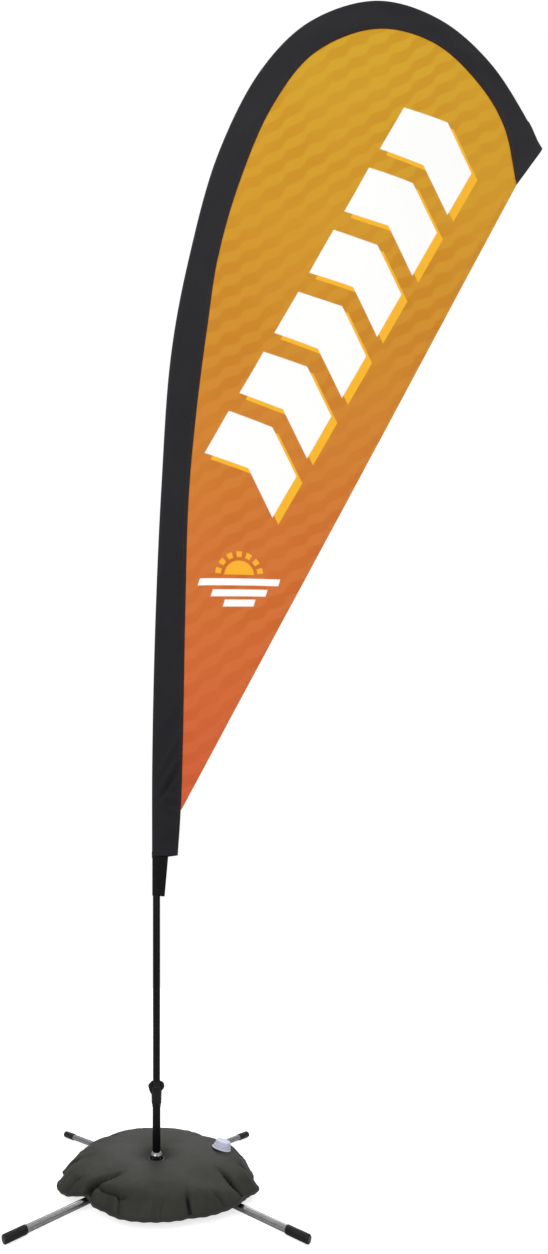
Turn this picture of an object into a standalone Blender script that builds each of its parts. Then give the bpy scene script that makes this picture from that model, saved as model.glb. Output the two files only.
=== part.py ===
"""Teardrop flag on a folding cross base, held down by a water weight ring.

Metres, +Z up. The origin is on the floor below the pole. The flag lies in the XZ plane and
spreads towards +X. The cross base's legs run along the diagonals of X and Y, and slope down
from the hub to the floor. Heights are given over a datum plane at the hub, and everything is
raised to its place over the floor at the end.
"""
from math import acos, atan2, ceil, cos, pi, radians, sin

import bmesh
import bpy
from mathutils import Matrix, Vector

MM = 0.001
GAP = 0.3                       # clearance between touching pieces, millimetres
ROUND = 20                      # steps round a turned piece
MERGE = 0.00001                 # merge distance of modifiers, metres

# Cross base, millimetres
LEG_LENGTH = 400.0
LEG_RADIUS = 8.0
LEG_WALL = 1.2
LEG_SIDES = 16
LEG_HEIGHT = 10.0               # centre line of a leg where it leaves the hub, over the datum
RISE = 11.0                     # the datum's height over the floor, which the legs slope down to
CAP_RADIUS = 10.0
CAP_LENGTH = 46.0
FLAT_HALF = 2.5                 # half the height of a bar where it is pressed flat
FLAT_WIDTH_HALF = 10.8
FLAT_END = 24.0                 # the flat reaches this far from the pivot
TUBE_START = 58.0               # and the tube is round from here on
LOWER_BAR_ANGLE = 45.0
UPPER_BAR_ANGLE = -45.0

LEG_SLOPE = RISE / (LEG_LENGTH - TUBE_START)

# Heights over the datum along the pivot, millimetres
PAD_TOP = 5.7
LOWER_FLAT = PAD_TOP + GAP + FLAT_HALF
WASHER_BOTTOM = LOWER_FLAT + FLAT_HALF + GAP
WASHER_TOP = WASHER_BOTTOM + 0.8
UPPER_FLAT = WASHER_TOP + GAP + FLAT_HALF
BOSS_BOTTOM = UPPER_FLAT + FLAT_HALF + GAP
BOLT_RADIUS = 4.0
BOLT_HOLE = 4.4

# Spindle and bearing, millimetres
BEARING_LOW = 39.8
BEARING_HIGH = 46.8
STUB_TOP = 50.5
CUP_RADIUS = 15.5
CUP_TOP = 53.5
ROD_RADIUS = 7.5
ROD_TOP = 165.0
O_RING_HEIGHTS = (80.0, 115.0, 150.0)
BALLS = 7
BALL_RADIUS = 1.9
BALL_CIRCLE = 8.6

# Pole, millimetres
FOOT_BOTTOM = CUP_TOP + GAP
FOOT_TOP = 192.0
FOOT_RADIUS = 10.0
FOOT_BORE = 8.5
LOWER_RADIUS = 9.0
LOWER_WALL = 2.0
MIDDLE_RADIUS = 6.7
MIDDLE_WALL = 1.6
UPPER_RADIUS = 4.7
TIP_RADIUS = 2.6
FERRULE_RADIUS = 5.9
FERRULE_WALL = 0.9
SLEEVE_WALL = 1.2
SLEEVE_RADIUS = 10.9            # round the lower pole section
SLEEVE_TIP_RADIUS = 6.2         # at the flag's tip
SLEEVE_ARC = 9                  # steps of the sleeve's arc round the pole
SEAM_HALF = 1.3                 # half the sleeve's thickness at its seam with the panel
STRAP_BOTTOM = 687.0
STRAP_TOP_WIDTH = 39.5
STRAP_BOTTOM_WIDTH = 31.0

# Flag outline in the XZ plane, metres: the pole side of the sleeve, from its foot to the tip
OUTER_EDGE = [
    (-0.0109, 0.783), (-0.0105, 1.020), (-0.0030, 1.360), (0.0120, 1.700), (0.0360, 2.030),
    (0.0805, 2.270), (0.1520, 2.525), (0.2590, 2.733), (0.3790, 2.850), (0.5430, 2.901),
    (0.6950, 2.858), (0.8260, 2.748), (0.9570, 2.541),
]
# ... and the seam between the sleeve and the panel, with the sleeve's free edge below it
SEAM = [
    (0.0530, 0.783), (0.0605, 0.908), (0.0660, 1.100), (0.0715, 1.400), (0.0800, 1.680),
    (0.1000, 1.900), (0.1260, 2.100), (0.1520, 2.270), (0.2060, 2.460), (0.2900, 2.653),
    (0.3950, 2.783), (0.5500, 2.841), (0.6900, 2.805), (0.8000, 2.704), (0.8620, 2.600),
    (0.8940, 2.4545),
]
PANEL_FOOT = Vector((0.0605, 0.908))
STATION_STEP = 0.062            # between cross-sections of the sleeve where it curves
CURVED_ABOVE = 2.2              # below this height every second cross-section does
POLE_JOINTS = ((0.0, 1.09), (0.034, 2.0), (0.3, 2.79))
PANEL_THICKNESS = 2.0

# Water weight ring, millimetres
BAG_BOTTOM = 19.0
BAG_HOLE = 18.5
BAG_RADIUS = 231.0
BAG_TOP = 57.5
BAG_STEPS = 40
RIM_WIDTH = 6.0
VALVE_RADIUS = 167.0            # distance of the valve from the pole
VALVE_ANGLE = 8.0
VALVE_LEAN = 13.0
VALVE_SEAT = 52.4               # height of the valve's foot
NECK_RADIUS = 14.0


def clear_scene():
    for obj in list(bpy.data.objects):
        bpy.data.objects.remove(obj, do_unlink=True)


def collection(name):
    found = bpy.data.collections.new(name)
    bpy.context.scene.collection.children.link(found)
    return found


def finish(name, colour, roughness, metallic=0.0):
    """A Principled material."""
    material = bpy.data.materials.new(name)
    material.use_nodes = True
    shader = material.node_tree.nodes["Principled BSDF"]
    shader.inputs["Base Color"].default_value = (*colour, 1.0)
    shader.inputs["Roughness"].default_value = roughness
    shader.inputs["Metallic"].default_value = metallic
    return material


def place(name, data, material, parent=None):
    """Put a mesh or curve in the flag's collection under its own name."""
    obj = bpy.data.objects.new(name, data)
    PARTS.objects.link(obj)
    data.materials.append(material.copy())
    data.materials[0].name = name
    obj.parent = parent
    return obj


def as_cutter(obj):
    """Move an object to the cutters' collection, where it shows as a wire only."""
    for owner in list(obj.users_collection):
        owner.objects.unlink(obj)
    CUTTERS.objects.link(obj)
    obj.hide_render = True
    obj.display_type = "WIRE"
    return obj


def combine(obj, other, operation):
    """Cut or join an object with another one, which becomes a hidden cutter."""
    as_cutter(other)
    boolean = obj.modifiers.new(operation.lower(), "BOOLEAN")
    boolean.operation = operation
    boolean.solver = "EXACT"
    boolean.object = other


def empty(name, location=(0.0, 0.0, 0.0), rotation=(0.0, 0.0, 0.0)):
    """An empty that marks a joint's axis."""
    obj = bpy.data.objects.new(name, None)
    PARTS.objects.link(obj)
    obj.location = location
    obj.rotation_euler = rotation
    return obj


def turned(name, profile, material, parent=None, steps=ROUND, ring=False):
    """Turn (radius, height) points, in millimetres, about the local Z axis.

    The profile runs from the top down the outer side. A ring's profile is a closed loop.
    """
    points = [(radius * MM, 0.0, height * MM) for radius, height in profile]
    edges = [(i, i + 1) for i in range(len(points) - 1)]
    if ring:
        edges.append((len(points) - 1, 0))
    mesh = bpy.data.meshes.new(name)
    mesh.from_pydata(points, edges, [])
    obj = place(name, mesh, material, parent)
    screw = obj.modifiers.new("turn", "SCREW")
    screw.axis = "Z"
    screw.angle = 2.0 * pi
    screw.steps = steps
    screw.render_steps = steps
    screw.use_merge_vertices = True
    screw.merge_threshold = MERGE
    return obj


def washer(name, inner, outer, low, high, material, parent=None, steps=ROUND):
    """A flat ring, in millimetres."""
    profile = [(inner, high), (outer, high), (outer, low), (inner, low)]
    return turned(name, profile, material, parent, steps, ring=True)


def loft(name, rings, material, parent=None, ends="capped"):
    """Join closed rings of points into a skin with capped, open or joined ends.

    An open skin faces outwards if its rings turn anticlockwise about its own direction.
    """
    mesh = bpy.data.meshes.new(name)
    bm = bmesh.new()
    loops = [[bm.verts.new(point) for point in ring] for ring in rings]
    count = len(loops[0])
    following = loops[1:] + (loops[:1] if ends == "joined" else [])
    for lower, upper in zip(loops, following):
        for i in range(count):
            j = (i + 1) % count
            bm.faces.new((lower[i], lower[j], upper[j], upper[i]))
    if ends == "capped":
        bm.faces.new(loops[0])
        bm.faces.new(loops[-1])
    if ends != "open":
        bmesh.ops.recalc_face_normals(bm, faces=bm.faces)
    bm.to_mesh(mesh)
    bm.free()
    return place(name, mesh, material, parent)


def smooth_line(points, per_span=60):
    """A centripetal Catmull-Rom line through (x, z) points."""
    known = [Vector(point) for point in points]
    known = [known[0] * 2 - known[1]] + known + [known[-1] * 2 - known[-2]]
    line = []
    for span in range(1, len(known) - 2):
        p = known[span - 1:span + 3]
        t = [0.0]
        for a, b in zip(p, p[1:]):
            t.append(t[-1] + (b - a).length ** 0.5)
        for k in range(per_span):
            u = t[1] + (t[2] - t[1]) * k / per_span
            a = [p[i].lerp(p[i + 1], (u - t[i]) / (t[i + 1] - t[i])) for i in range(3)]
            b = [a[i].lerp(a[i + 1], (u - t[i]) / (t[i + 2] - t[i])) for i in range(2)]
            line.append(b[0].lerp(b[1], (u - t[1]) / (t[2] - t[1])))
    line.append(known[-2])
    return line


def spaced(line, step):
    """Points on a line at equal distances of about one step, ends included."""
    lengths = [0.0]
    for a, b in zip(line, line[1:]):
        lengths.append(lengths[-1] + (b - a).length)
    count = ceil(lengths[-1] / step)
    picked = []
    i = 0
    for k in range(count + 1):
        goal = lengths[-1] * k / count
        while i < len(line) - 2 and lengths[i + 1] < goal:
            i += 1
        part = (goal - lengths[i]) / (lengths[i + 1] - lengths[i])
        picked.append(line[i].lerp(line[i + 1], part))
    return picked


class Station:
    """One cross-section of the sleeve: pole-side point, direction to the seam, pole centre."""

    def __init__(self, outer, seam, along):
        self.outer = outer
        self.seam = seam
        self.width = (seam - outer).length / MM
        self.across = (seam - outer).normalized()
        self.radius = SLEEVE_RADIUS + (SLEEVE_TIP_RADIUS - SLEEVE_RADIUS) * max(0.0, along - 0.1) / 0.9
        self.centre = outer + self.across * self.radius * MM

    def ring(self, radius, reach, half):
        """A tear-shaped ring round the pole, its flanks tangent to it, in millimetres."""
        start = acos(radius / (reach - self.radius))
        profile = [(reach, half)]
        for k in range(SLEEVE_ARC + 1):
            angle = start + 2.0 * (pi - start) * k / SLEEVE_ARC
            profile.append((self.radius + radius * cos(angle), radius * sin(angle)))
        profile.append((reach, -half))
        points = []
        for u, v in profile:
            flat = self.outer + self.across * u * MM
            points.append(Vector((flat.x, v * MM, flat.y)))
        return points


def sleeve_stations():
    """Pair each point of the seam with the nearest point of the pole side."""
    outer = smooth_line(OUTER_EDGE)
    seam = spaced(smooth_line(SEAM), STATION_STEP)
    stations = []
    for i, point in enumerate(seam):
        if i % 2 and point.y < CURVED_ABOVE:
            continue
        nearest = min(outer, key=lambda other: (other - point).length)
        stations.append(Station(nearest, point, i / (len(seam) - 1)))
    return stations


def sleeve_rings(stations):
    """The rings of a sleeve's skin, from the end of its blind cavity, out at the foot and up."""
    outside = [s.ring(s.radius, s.width, SEAM_HALF) for s in stations]
    inside = [s.ring(s.radius - SLEEVE_WALL, s.width * 0.7, 0.2) for s in stations]
    inside[-1] = [low.lerp(high, 0.8) for low, high in zip(inside[-2], inside[-1])]
    return inside[::-1] + outside


def rod(name, path, radii, material, wall=0.0, sides=12):
    """A round rod or, with a wall, a tube along (x, z) points, in millimetres across."""
    curve = bpy.data.curves.new(name, "CURVE")
    curve.dimensions = "3D"
    curve.bevel_depth = MM
    curve.bevel_resolution = (sides - 4) // 2
    curve.use_fill_caps = not wall
    spline = curve.splines.new("POLY")
    spline.points.add(len(path) - 1)
    for i, (point, target) in enumerate(zip(path, spline.points)):
        target.co = (point.x, 0.0, point.y, 1.0)
        target.radius = radii[0] + (radii[1] - radii[0]) * i / (len(path) - 1)
    obj = place(name, curve, material)
    if wall:
        shell = obj.modifiers.new("wall", "SOLIDIFY")
        shell.thickness = wall * MM
        shell.offset = -1.0
        shell.use_even_offset = True
    return obj


def leg_centre(distance):
    """The height of a leg's centre line at a distance from the pivot, in millimetres."""
    return LEG_HEIGHT - LEG_SLOPE * max(0.0, abs(distance) - TUBE_START)


def bar_section(distance, flat_height):
    """One ring of a cross bar at a distance from the pivot, in millimetres."""
    roundness = min(1.0, max(0.0, (abs(distance) - FLAT_END) / (TUBE_START - FLAT_END)))
    roundness = roundness * roundness * (3.0 - 2.0 * roundness)
    half_width = FLAT_WIDTH_HALF + (LEG_RADIUS - FLAT_WIDTH_HALF) * roundness
    half_height = FLAT_HALF + (LEG_RADIUS - FLAT_HALF) * roundness
    height = flat_height + (leg_centre(distance) - flat_height) * roundness
    bulge = 2.0 / (3.4 - 1.4 * roundness)
    ring = []
    for k in range(LEG_SIDES):
        angle = 2.0 * pi * k / LEG_SIDES
        y = half_width * abs(cos(angle)) ** bulge * (1.0 if cos(angle) > 0 else -1.0)
        z = half_height * abs(sin(angle)) ** bulge * (1.0 if sin(angle) > 0 else -1.0)
        ring.append(Vector((distance, y, height + z)) * MM)
    return ring


def cross_bar(name, angle, flat_height, material, parent=None):
    """A tube pressed flat at its middle and drilled there for the pivot bolt."""
    steps = [FLAT_END + (TUBE_START - FLAT_END) * k / 5 for k in range(6)]
    reach = LEG_LENGTH - 7.0
    distances = [-reach] + [-step for step in reversed(steps)] + steps + [reach]
    rings = [bar_section(distance, flat_height) for distance in distances]
    bar = loft(name, rings, material, parent, ends="open")
    bar.rotation_euler = (0.0, 0.0, radians(angle))
    shell = bar.modifiers.new("wall", "SOLIDIFY")
    shell.thickness = LEG_WALL * MM
    shell.offset = -1.0
    drill = turned(name + "_drill", [(0, 30), (BOLT_HOLE, 30), (BOLT_HOLE, 0), (0, 0)], material)
    combine(bar, drill, "DIFFERENCE")
    return bar


def end_cap(name, angle, material, parent=None):
    """A plastic cup pushed over the end of a leg, its closed end rounded."""
    bore = LEG_RADIUS + 0.4
    profile = [
        (0, CAP_LENGTH), (CAP_RADIUS - 2.2, CAP_LENGTH), (CAP_RADIUS - 0.6, CAP_LENGTH - 0.8),
        (CAP_RADIUS, CAP_LENGTH - 2.4), (CAP_RADIUS, 1.2), (CAP_RADIUS - 0.5, 0), (bore, 0),
        (bore, CAP_LENGTH - 6.7), (0, CAP_LENGTH - 6.7),
    ]
    cap = turned(name, profile, material, parent, steps=20)
    turn = Matrix.Rotation(radians(angle), 4, "Z")
    inner_end = LEG_LENGTH - CAP_LENGTH
    cap.location = turn @ Vector((inner_end, 0.0, leg_centre(inner_end))) * MM
    cap.rotation_euler = (0.0, radians(90.0) + atan2(LEG_SLOPE, 1.0), radians(angle))
    return cap


def build_base():
    """The lower bar, the pivot and everything that stands still on it."""
    turned("floor_pad", [
        (0, 1.4), (7.8, 1.4), (7.8, PAD_TOP), (22, PAD_TOP), (22, 1.5 - RISE), (20.5, -RISE),
        (0, -RISE),
    ], RUBBER)
    cross_bar("lower_cross_bar", LOWER_BAR_ANGLE, LOWER_FLAT, CHROME)
    end_cap("end_cap_back_right", LOWER_BAR_ANGLE, PLASTIC)
    end_cap("end_cap_front_left", LOWER_BAR_ANGLE + 180.0, PLASTIC)
    head_top = PAD_TOP - 0.2
    turned("pivot_bolt", [
        (0, 33), (3.2, 33), (BOLT_RADIUS, 32.2), (BOLT_RADIUS, head_top), (7.2, head_top),
        (7.2, 4.2), (5.4, 2.6), (0, 2.0),
    ], STEEL)
    washer("pivot_washer", BOLT_HOLE, 11.0, WASHER_BOTTOM, WASHER_TOP, NYLON)
    shoulder = BEARING_LOW - GAP
    turned("hub_boss", [
        (0, STUB_TOP), (3.4, STUB_TOP), (4.0, STUB_TOP - 0.6), (4.0, shoulder), (6.2, shoulder),
        (6.2, shoulder - 2), (10.9, shoulder - 2), (11.5, shoulder - 2.6), (11.5, 22.5),
        (15.0, 20.5), (15.0, BOSS_BOTTOM), (BOLT_HOLE, BOSS_BOTTOM), (BOLT_HOLE, 34), (0, 34),
    ], CHROME)
    washer("bearing_inner_race", 4.3, 6.3, BEARING_LOW, BEARING_HIGH, STEEL)
    washer("retaining_ring", 4.3, 6.0, BEARING_HIGH + 0.4, BEARING_HIGH + 1.4, STEEL)
    build_ball_cage((BEARING_LOW + BEARING_HIGH) / 2)


def build_ball_cage(height):
    """The bearing's balls, joined by the ring that spaces them."""
    half = 0.9
    cage = washer("bearing_cage", BALL_CIRCLE - half, BALL_CIRCLE + half, height - half,
                  height + half, STEEL)
    mesh = bpy.data.meshes.new("bearing_balls")
    bm = bmesh.new()
    for k in range(BALLS):
        angle = 2.0 * pi * k / BALLS
        spot = Vector((BALL_CIRCLE * cos(angle), BALL_CIRCLE * sin(angle), height)) * MM
        bmesh.ops.create_uvsphere(bm, u_segments=8, v_segments=6, radius=BALL_RADIUS * MM,
                                  matrix=Matrix.Translation(spot))
    bm.to_mesh(mesh)
    bm.free()
    combine(cage, place("bearing_balls", mesh, STEEL), "UNION")


def build_upper_bar():
    """The bar that folds against the lower one."""
    fold = empty("fold_axis")
    cross_bar("upper_cross_bar", UPPER_BAR_ANGLE, UPPER_FLAT, CHROME, fold)
    end_cap("end_cap_front_right", UPPER_BAR_ANGLE, PLASTIC, fold)
    end_cap("end_cap_back_left", UPPER_BAR_ANGLE + 180.0, PLASTIC, fold)


def build_rotor():
    """The spindle that turns on the bearing and carries the pole."""
    spin = empty("spin_axis")
    grooves = []
    for height in reversed(O_RING_HEIGHTS):
        grooves += [(ROD_RADIUS, height + 1.4), (6.3, height + 1.4), (6.3, height - 1.4),
                    (ROD_RADIUS, height - 1.4)]
    turned("spindle_rod", [
        (0, ROD_TOP), (5.0, ROD_TOP), (ROD_RADIUS, ROD_TOP - 4), *grooves,
        (ROD_RADIUS, CUP_TOP), (10.4, CUP_TOP), (CUP_RADIUS - 0.6, 47.6), (CUP_RADIUS, 46.6),
        (CUP_RADIUS, 44.6), (CUP_RADIUS - 1.0, 43.0), (CUP_RADIUS - 1.0, 39.9), (13.2, 39.9),
        (13.2, BEARING_HIGH + GAP), (6.6, BEARING_HIGH + GAP), (6.6, STUB_TOP + 0.8),
        (0, STUB_TOP + 0.8),
    ], CHROME, spin)
    washer("bearing_outer_race", 10.9, 12.9, BEARING_LOW, BEARING_HIGH, STEEL, spin)
    for number, height in enumerate(O_RING_HEIGHTS, 1):
        section = []
        for k in range(6):
            angle = radians(90.0 - 60.0 * k)
            section.append((7.4 + 0.75 * cos(angle), height + 0.75 * sin(angle)))
        turned(f"o_ring_{number}", section, RUBBER, spin, steps=20, ring=True)


def build_foot(slide):
    """The foot tube and the collar that joins it to the pole."""
    turned("foot_tube", [
        (FOOT_BORE, FOOT_TOP), (FOOT_RADIUS, FOOT_TOP), (FOOT_RADIUS, FOOT_BOTTOM + 1.6),
        (FOOT_RADIUS - 1.0, FOOT_BOTTOM), (FOOT_BORE, FOOT_BOTTOM),
    ], POLE_BLACK, slide, ring=True)
    collar = turned("pole_collar", [
        (LOWER_RADIUS + 0.4, 228), (11.2, 228), (14.0, 224.5), (16.6, 220.5), (17.2, 217),
        (16.2, 212), (13.6, 206), (13.2, 200), (12.6, 184), (12.0, 171), (11.2, 164.5),
        (FOOT_RADIUS + 0.4, 164.5), (FOOT_RADIUS + 0.4, FOOT_TOP + 0.4),
        (LOWER_RADIUS + 0.4, FOOT_TOP + 0.4),
    ], PLASTIC, slide, ring=True)
    add_lug(collar, "left_lug", (-15.2, 0, 210), (5.6, 5.4, 12.5))
    add_lug(collar, "right_lug", (15.6, 0, 214.5), (5.2, 5.0, 9.5))
    tap = turned("screw_hole", [(0, 24), (2.5, 24), (2.5, 8), (0, 8)], PLASTIC)
    stand_back(tap)
    combine(collar, tap, "DIFFERENCE")
    screw = turned("collar_screw", [
        (0, 13.6), (1.1, 13.6), (1.1, 15.4), (1.9, 15.4), (2.1, 15.2), (2.1, 9.7), (1.6, 9.3),
        (0, 9.3),
    ], STEEL, slide, steps=12)
    stand_back(screw)


def stand_back(obj):
    """Lay a turned piece along +Y at the collar's screw."""
    obj.location = (0.0, 0.0, 203 * MM)
    obj.rotation_euler = (radians(-90.0), 0.0, 0.0)


def add_lug(collar, name, centre, radii):
    """Join a rounded lug to the collar's side, clear of its bore."""
    mesh = bpy.data.meshes.new(name)
    bm = bmesh.new()
    bmesh.ops.create_uvsphere(bm, u_segments=12, v_segments=8, radius=1.0)
    bmesh.ops.scale(bm, vec=Vector(radii) * MM, verts=bm.verts)
    bmesh.ops.translate(bm, vec=Vector(centre) * MM, verts=bm.verts)
    bm.to_mesh(mesh)
    bm.free()
    combine(collar, place(name, mesh, PLASTIC), "UNION")


def build_pole(stations, slide):
    """Four pole sections, each plugged into the one below, and the ferrule near the tip."""
    top = len(stations) - 2
    centres = [station.centre for station in stations]
    joints = []
    for spot in POLE_JOINTS:
        gaps = [(centre - Vector(spot)).length for centre in centres]
        joints.append(gaps.index(min(gaps)))
    foot = Vector((0.0, (FOOT_TOP + 0.8) * MM))
    lower = [foot] + centres[:joints[0] + 1]
    sections = [
        rod("lower_pole", lower, (LOWER_RADIUS,) * 2, POLE_BLACK, LOWER_WALL, 16),
        rod("middle_pole", centres[joints[0] - 1:joints[1] + 1], (MIDDLE_RADIUS,) * 2, FIBRE,
            MIDDLE_WALL, 16),
        rod("upper_pole", centres[joints[1] - 1:joints[2] + 1], (UPPER_RADIUS,) * 2, FIBRE),
    ]
    start = centres[joints[2]].lerp(centres[joints[2] + 1], 0.01)
    tip = [start] + centres[joints[2] + 1:top]
    sections.append(rod("tip_pole", tip, (UPPER_RADIUS, TIP_RADIUS), FIBRE))
    around = centres[joints[2] - 1:joints[2] + 2]
    sections.append(rod("tip_ferrule", around, (FERRULE_RADIUS,) * 2, STEEL, FERRULE_WALL))
    ahead = (centres[top] - centres[top - 1]).normalized()
    cap = [tip[-1] + ahead * reach * MM for reach in (GAP, 3.0, 6.0, 8.0)]
    sections.append(rod("pole_tip_cap", cap, (3.6, 2.6), RUBBER))
    for section in sections:
        section.parent = slide


def build_flag(stations, slide):
    """The sleeve, the printed panel, the tip pocket and the tension strap."""
    loft("pole_sleeve", sleeve_rings(stations[:-1]), SLEEVE_CLOTH, slide)
    near, end = stations[-2:]
    ahead = (end.outer - near.outer).normalized() * GAP * MM
    clear = Vector((ahead.x, 0.0, ahead.y))
    first = [point + clear for point in near.ring(near.radius, near.width, SEAM_HALF)]
    loft("tip_pocket", [first, end.ring(2.4, end.width, SEAM_HALF)], SLEEVE_CLOTH, slide)
    build_panel(stations, slide)
    build_strap(stations[0], slide)


def build_panel(stations, slide):
    """The printed cloth between the seam and the straight trailing edge."""
    outline = []
    for station in stations:
        if station.seam.y > PANEL_FOOT.y:
            outline.append(station.seam + station.across * GAP * MM)
    outline.insert(0, PANEL_FOOT + Vector((GAP * MM, 0.0)))
    curve = bpy.data.curves.new("flag_panel", "CURVE")
    curve.dimensions = "2D"
    curve.fill_mode = "BOTH"
    curve.extrude = PANEL_THICKNESS * MM / 2
    spline = curve.splines.new("POLY")
    spline.points.add(len(outline) - 1)
    for point, target in zip(outline, spline.points):
        target.co = (point.x, point.y, 0.0, 1.0)
    spline.use_cyclic_u = True
    panel = place("flag_panel", curve, PRINTED_CLOTH, slide)
    panel.rotation_euler = (radians(90.0), 0.0, 0.0)


def build_strap(station, slide):
    """The strap that wraps the pole below the sleeve and pulls the flag down."""
    outside = []
    inside = []
    for share in (0.0, 0.5, 1.0):
        height = STRAP_BOTTOM + (station.outer.y / MM - GAP - STRAP_BOTTOM) * share
        width = STRAP_BOTTOM_WIDTH + (STRAP_TOP_WIDTH - STRAP_BOTTOM_WIDTH) * share
        lift = Vector((0.0, 0.0, height * MM - station.outer.y))
        skin = station.ring(station.radius - 0.2, width, 0.9)
        cavity = station.ring(station.radius - SLEEVE_WALL - 0.1, width * 0.75, 0.2)
        outside.append([point + lift for point in skin])
        inside.append([point + lift for point in cavity])
    loft("tension_strap", outside + inside[::-1], SLEEVE_CLOTH, slide, ends="joined")


def build_bag():
    """The filled ring of coated cloth that lies on the legs, and its screw valve."""
    lift = empty("bag_lift_axis")
    turned("water_bag", [
        (BAG_HOLE, 35), (26, 41.5), (50, 50.5), (85, 56), (120, BAG_TOP), (155, 54.5), (185, 48.5),
        (208, 41), (224, 33), (BAG_RADIUS, 27), (226, 22), (214, BAG_BOTTOM), (BAG_HOLE, BAG_BOTTOM),
    ], BAG_CLOTH, lift, BAG_STEPS, ring=True)
    washer("rim_weld", BAG_RADIUS + GAP, BAG_RADIUS + RIM_WIDTH, 26.2, 27.8, BAG_CLOTH, lift, BAG_STEPS)
    turned("centre_grommet", [
        (16.8, 36.5), (17.6, 36.5), (18.2, 35.5), (18.2, 20), (17.6, 19.5), (16.8, 19.5),
    ], PLASTIC, lift, ring=True)
    build_valve(lift)


def build_valve(lift):
    """The valve's flange and neck stay on the bag, its cap screws off with the seal."""
    turn = Matrix.Rotation(radians(VALVE_ANGLE), 3, "Z")
    spot = turn @ Vector((VALVE_RADIUS, 0.0, VALVE_SEAT)) * MM
    axis = empty("valve_axis", spot, (0.0, radians(VALVE_LEAN), radians(VALVE_ANGLE)))
    axis.parent = lift
    turned("valve_flange", [
        (10.5, 15), (NECK_RADIUS, 15), (NECK_RADIUS, 8.5), (20.2, 8.5), (21.4, 7.3), (21.4, 2.6),
        (19.6, 0.6), (10.5, 0.6),
    ], VALVE_WHITE, axis, ring=True)
    turned("valve_seal", [(0, 17.3), (13.6, 17.3), (13.6, 15.4), (0, 15.4)], RUBBER, axis)
    cap = turned("valve_cap", [
        (0, 21), (15.5, 21), (18.0, 20.2), (18.8, 18.5), (18.8, 9.2), (15, 9.2),
        (15, 17.7), (0, 17.7),
    ], VALVE_WHITE, axis)
    add_grips(cap, axis)


def add_grips(cap, axis):
    """Join upright ribs to the side of the cap."""
    mesh = bpy.data.meshes.new("valve_grips")
    bm = bmesh.new()
    for k in range(12):
        turn = Matrix.Rotation(2.0 * pi * k / 12, 4, "Z")
        spot = turn @ Matrix.Translation(Vector((18.6, 0.0, 13.8)) * MM)
        size = Matrix.Diagonal(Vector((1.6, 2.0, 7.4, 1000.0)) * MM)
        bmesh.ops.create_cube(bm, size=1.0, matrix=spot @ size)
    bm.to_mesh(mesh)
    bm.free()
    grips = place("valve_grips", mesh, VALVE_WHITE, axis)
    combine(cap, grips, "UNION")


def raise_to_place():
    """Lift everything from the datum to its height over the floor."""
    for obj in [*PARTS.objects, *CUTTERS.objects]:
        if obj.parent is None:
            obj.location.z += RISE * MM


def shade_round():
    """Shade the turned pieces smooth."""
    for obj in PARTS.objects:
        for modifier in obj.modifiers:
            if modifier.type == "SCREW":
                modifier.use_smooth_shade = True


clear_scene()
PARTS = collection("teardrop_flag")
CUTTERS = collection("cutters")
CHROME = finish("chrome", (0.72, 0.73, 0.74), 0.18, 1.0)
STEEL = finish("steel", (0.55, 0.56, 0.57), 0.30, 1.0)
PLASTIC = finish("black_plastic", (0.020, 0.020, 0.022), 0.45)
NYLON = finish("nylon", (0.75, 0.74, 0.70), 0.50)
RUBBER = finish("rubber", (0.015, 0.015, 0.015), 0.80)
POLE_BLACK = finish("black_pole", (0.016, 0.016, 0.018), 0.35, 0.3)
FIBRE = finish("fibreglass", (0.045, 0.045, 0.047), 0.50)
SLEEVE_CLOTH = finish("sleeve_cloth", (0.024, 0.024, 0.030), 0.85)
PRINTED_CLOTH = finish("printed_cloth", (0.66, 0.20, 0.04), 0.80)
BAG_CLOTH = finish("bag_cloth", (0.055, 0.055, 0.045), 0.60)
VALVE_WHITE = finish("valve_plastic", (0.62, 0.64, 0.72), 0.35)

build_base()
build_upper_bar()
build_rotor()
POLE_AXIS = empty("pole_axis")
build_foot(POLE_AXIS)
STATIONS = sleeve_stations()
build_pole(STATIONS, POLE_AXIS)
build_flag(STATIONS, POLE_AXIS)
build_bag()
raise_to_place()
shade_round()
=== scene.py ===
# %% [markdown]
# # A teardrop flag on a water-weighted cross base
# The frame of this model, with its joints, is already made. This lesson gives it its looks: cloth that
# hangs and creases, tubes that shine, a filled bag that sags over the legs. Everything is in metres,
# +Z is up, and the flag lies in the XZ plane and spreads towards +X.

# %% Load the frame
from math import acos, atan2, ceil, cos, exp, hypot, pi, radians, sin

import bmesh
import bpy
from mathutils import Matrix, Vector, noise


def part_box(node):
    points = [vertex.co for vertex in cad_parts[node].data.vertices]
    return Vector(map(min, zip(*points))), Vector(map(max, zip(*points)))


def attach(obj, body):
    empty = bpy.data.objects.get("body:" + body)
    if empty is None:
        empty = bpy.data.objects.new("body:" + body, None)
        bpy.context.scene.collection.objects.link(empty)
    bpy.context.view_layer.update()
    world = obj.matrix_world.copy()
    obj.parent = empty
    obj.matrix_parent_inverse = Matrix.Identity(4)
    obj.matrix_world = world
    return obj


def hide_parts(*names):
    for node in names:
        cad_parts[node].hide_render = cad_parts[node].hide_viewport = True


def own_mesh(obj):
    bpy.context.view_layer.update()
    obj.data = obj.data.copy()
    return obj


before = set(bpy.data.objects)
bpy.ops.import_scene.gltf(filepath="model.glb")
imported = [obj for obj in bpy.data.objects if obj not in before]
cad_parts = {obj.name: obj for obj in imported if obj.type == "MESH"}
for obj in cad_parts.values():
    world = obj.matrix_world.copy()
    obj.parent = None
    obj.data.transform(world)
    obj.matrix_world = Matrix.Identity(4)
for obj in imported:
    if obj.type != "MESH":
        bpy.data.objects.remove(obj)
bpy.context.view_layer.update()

MM = 0.001
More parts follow.
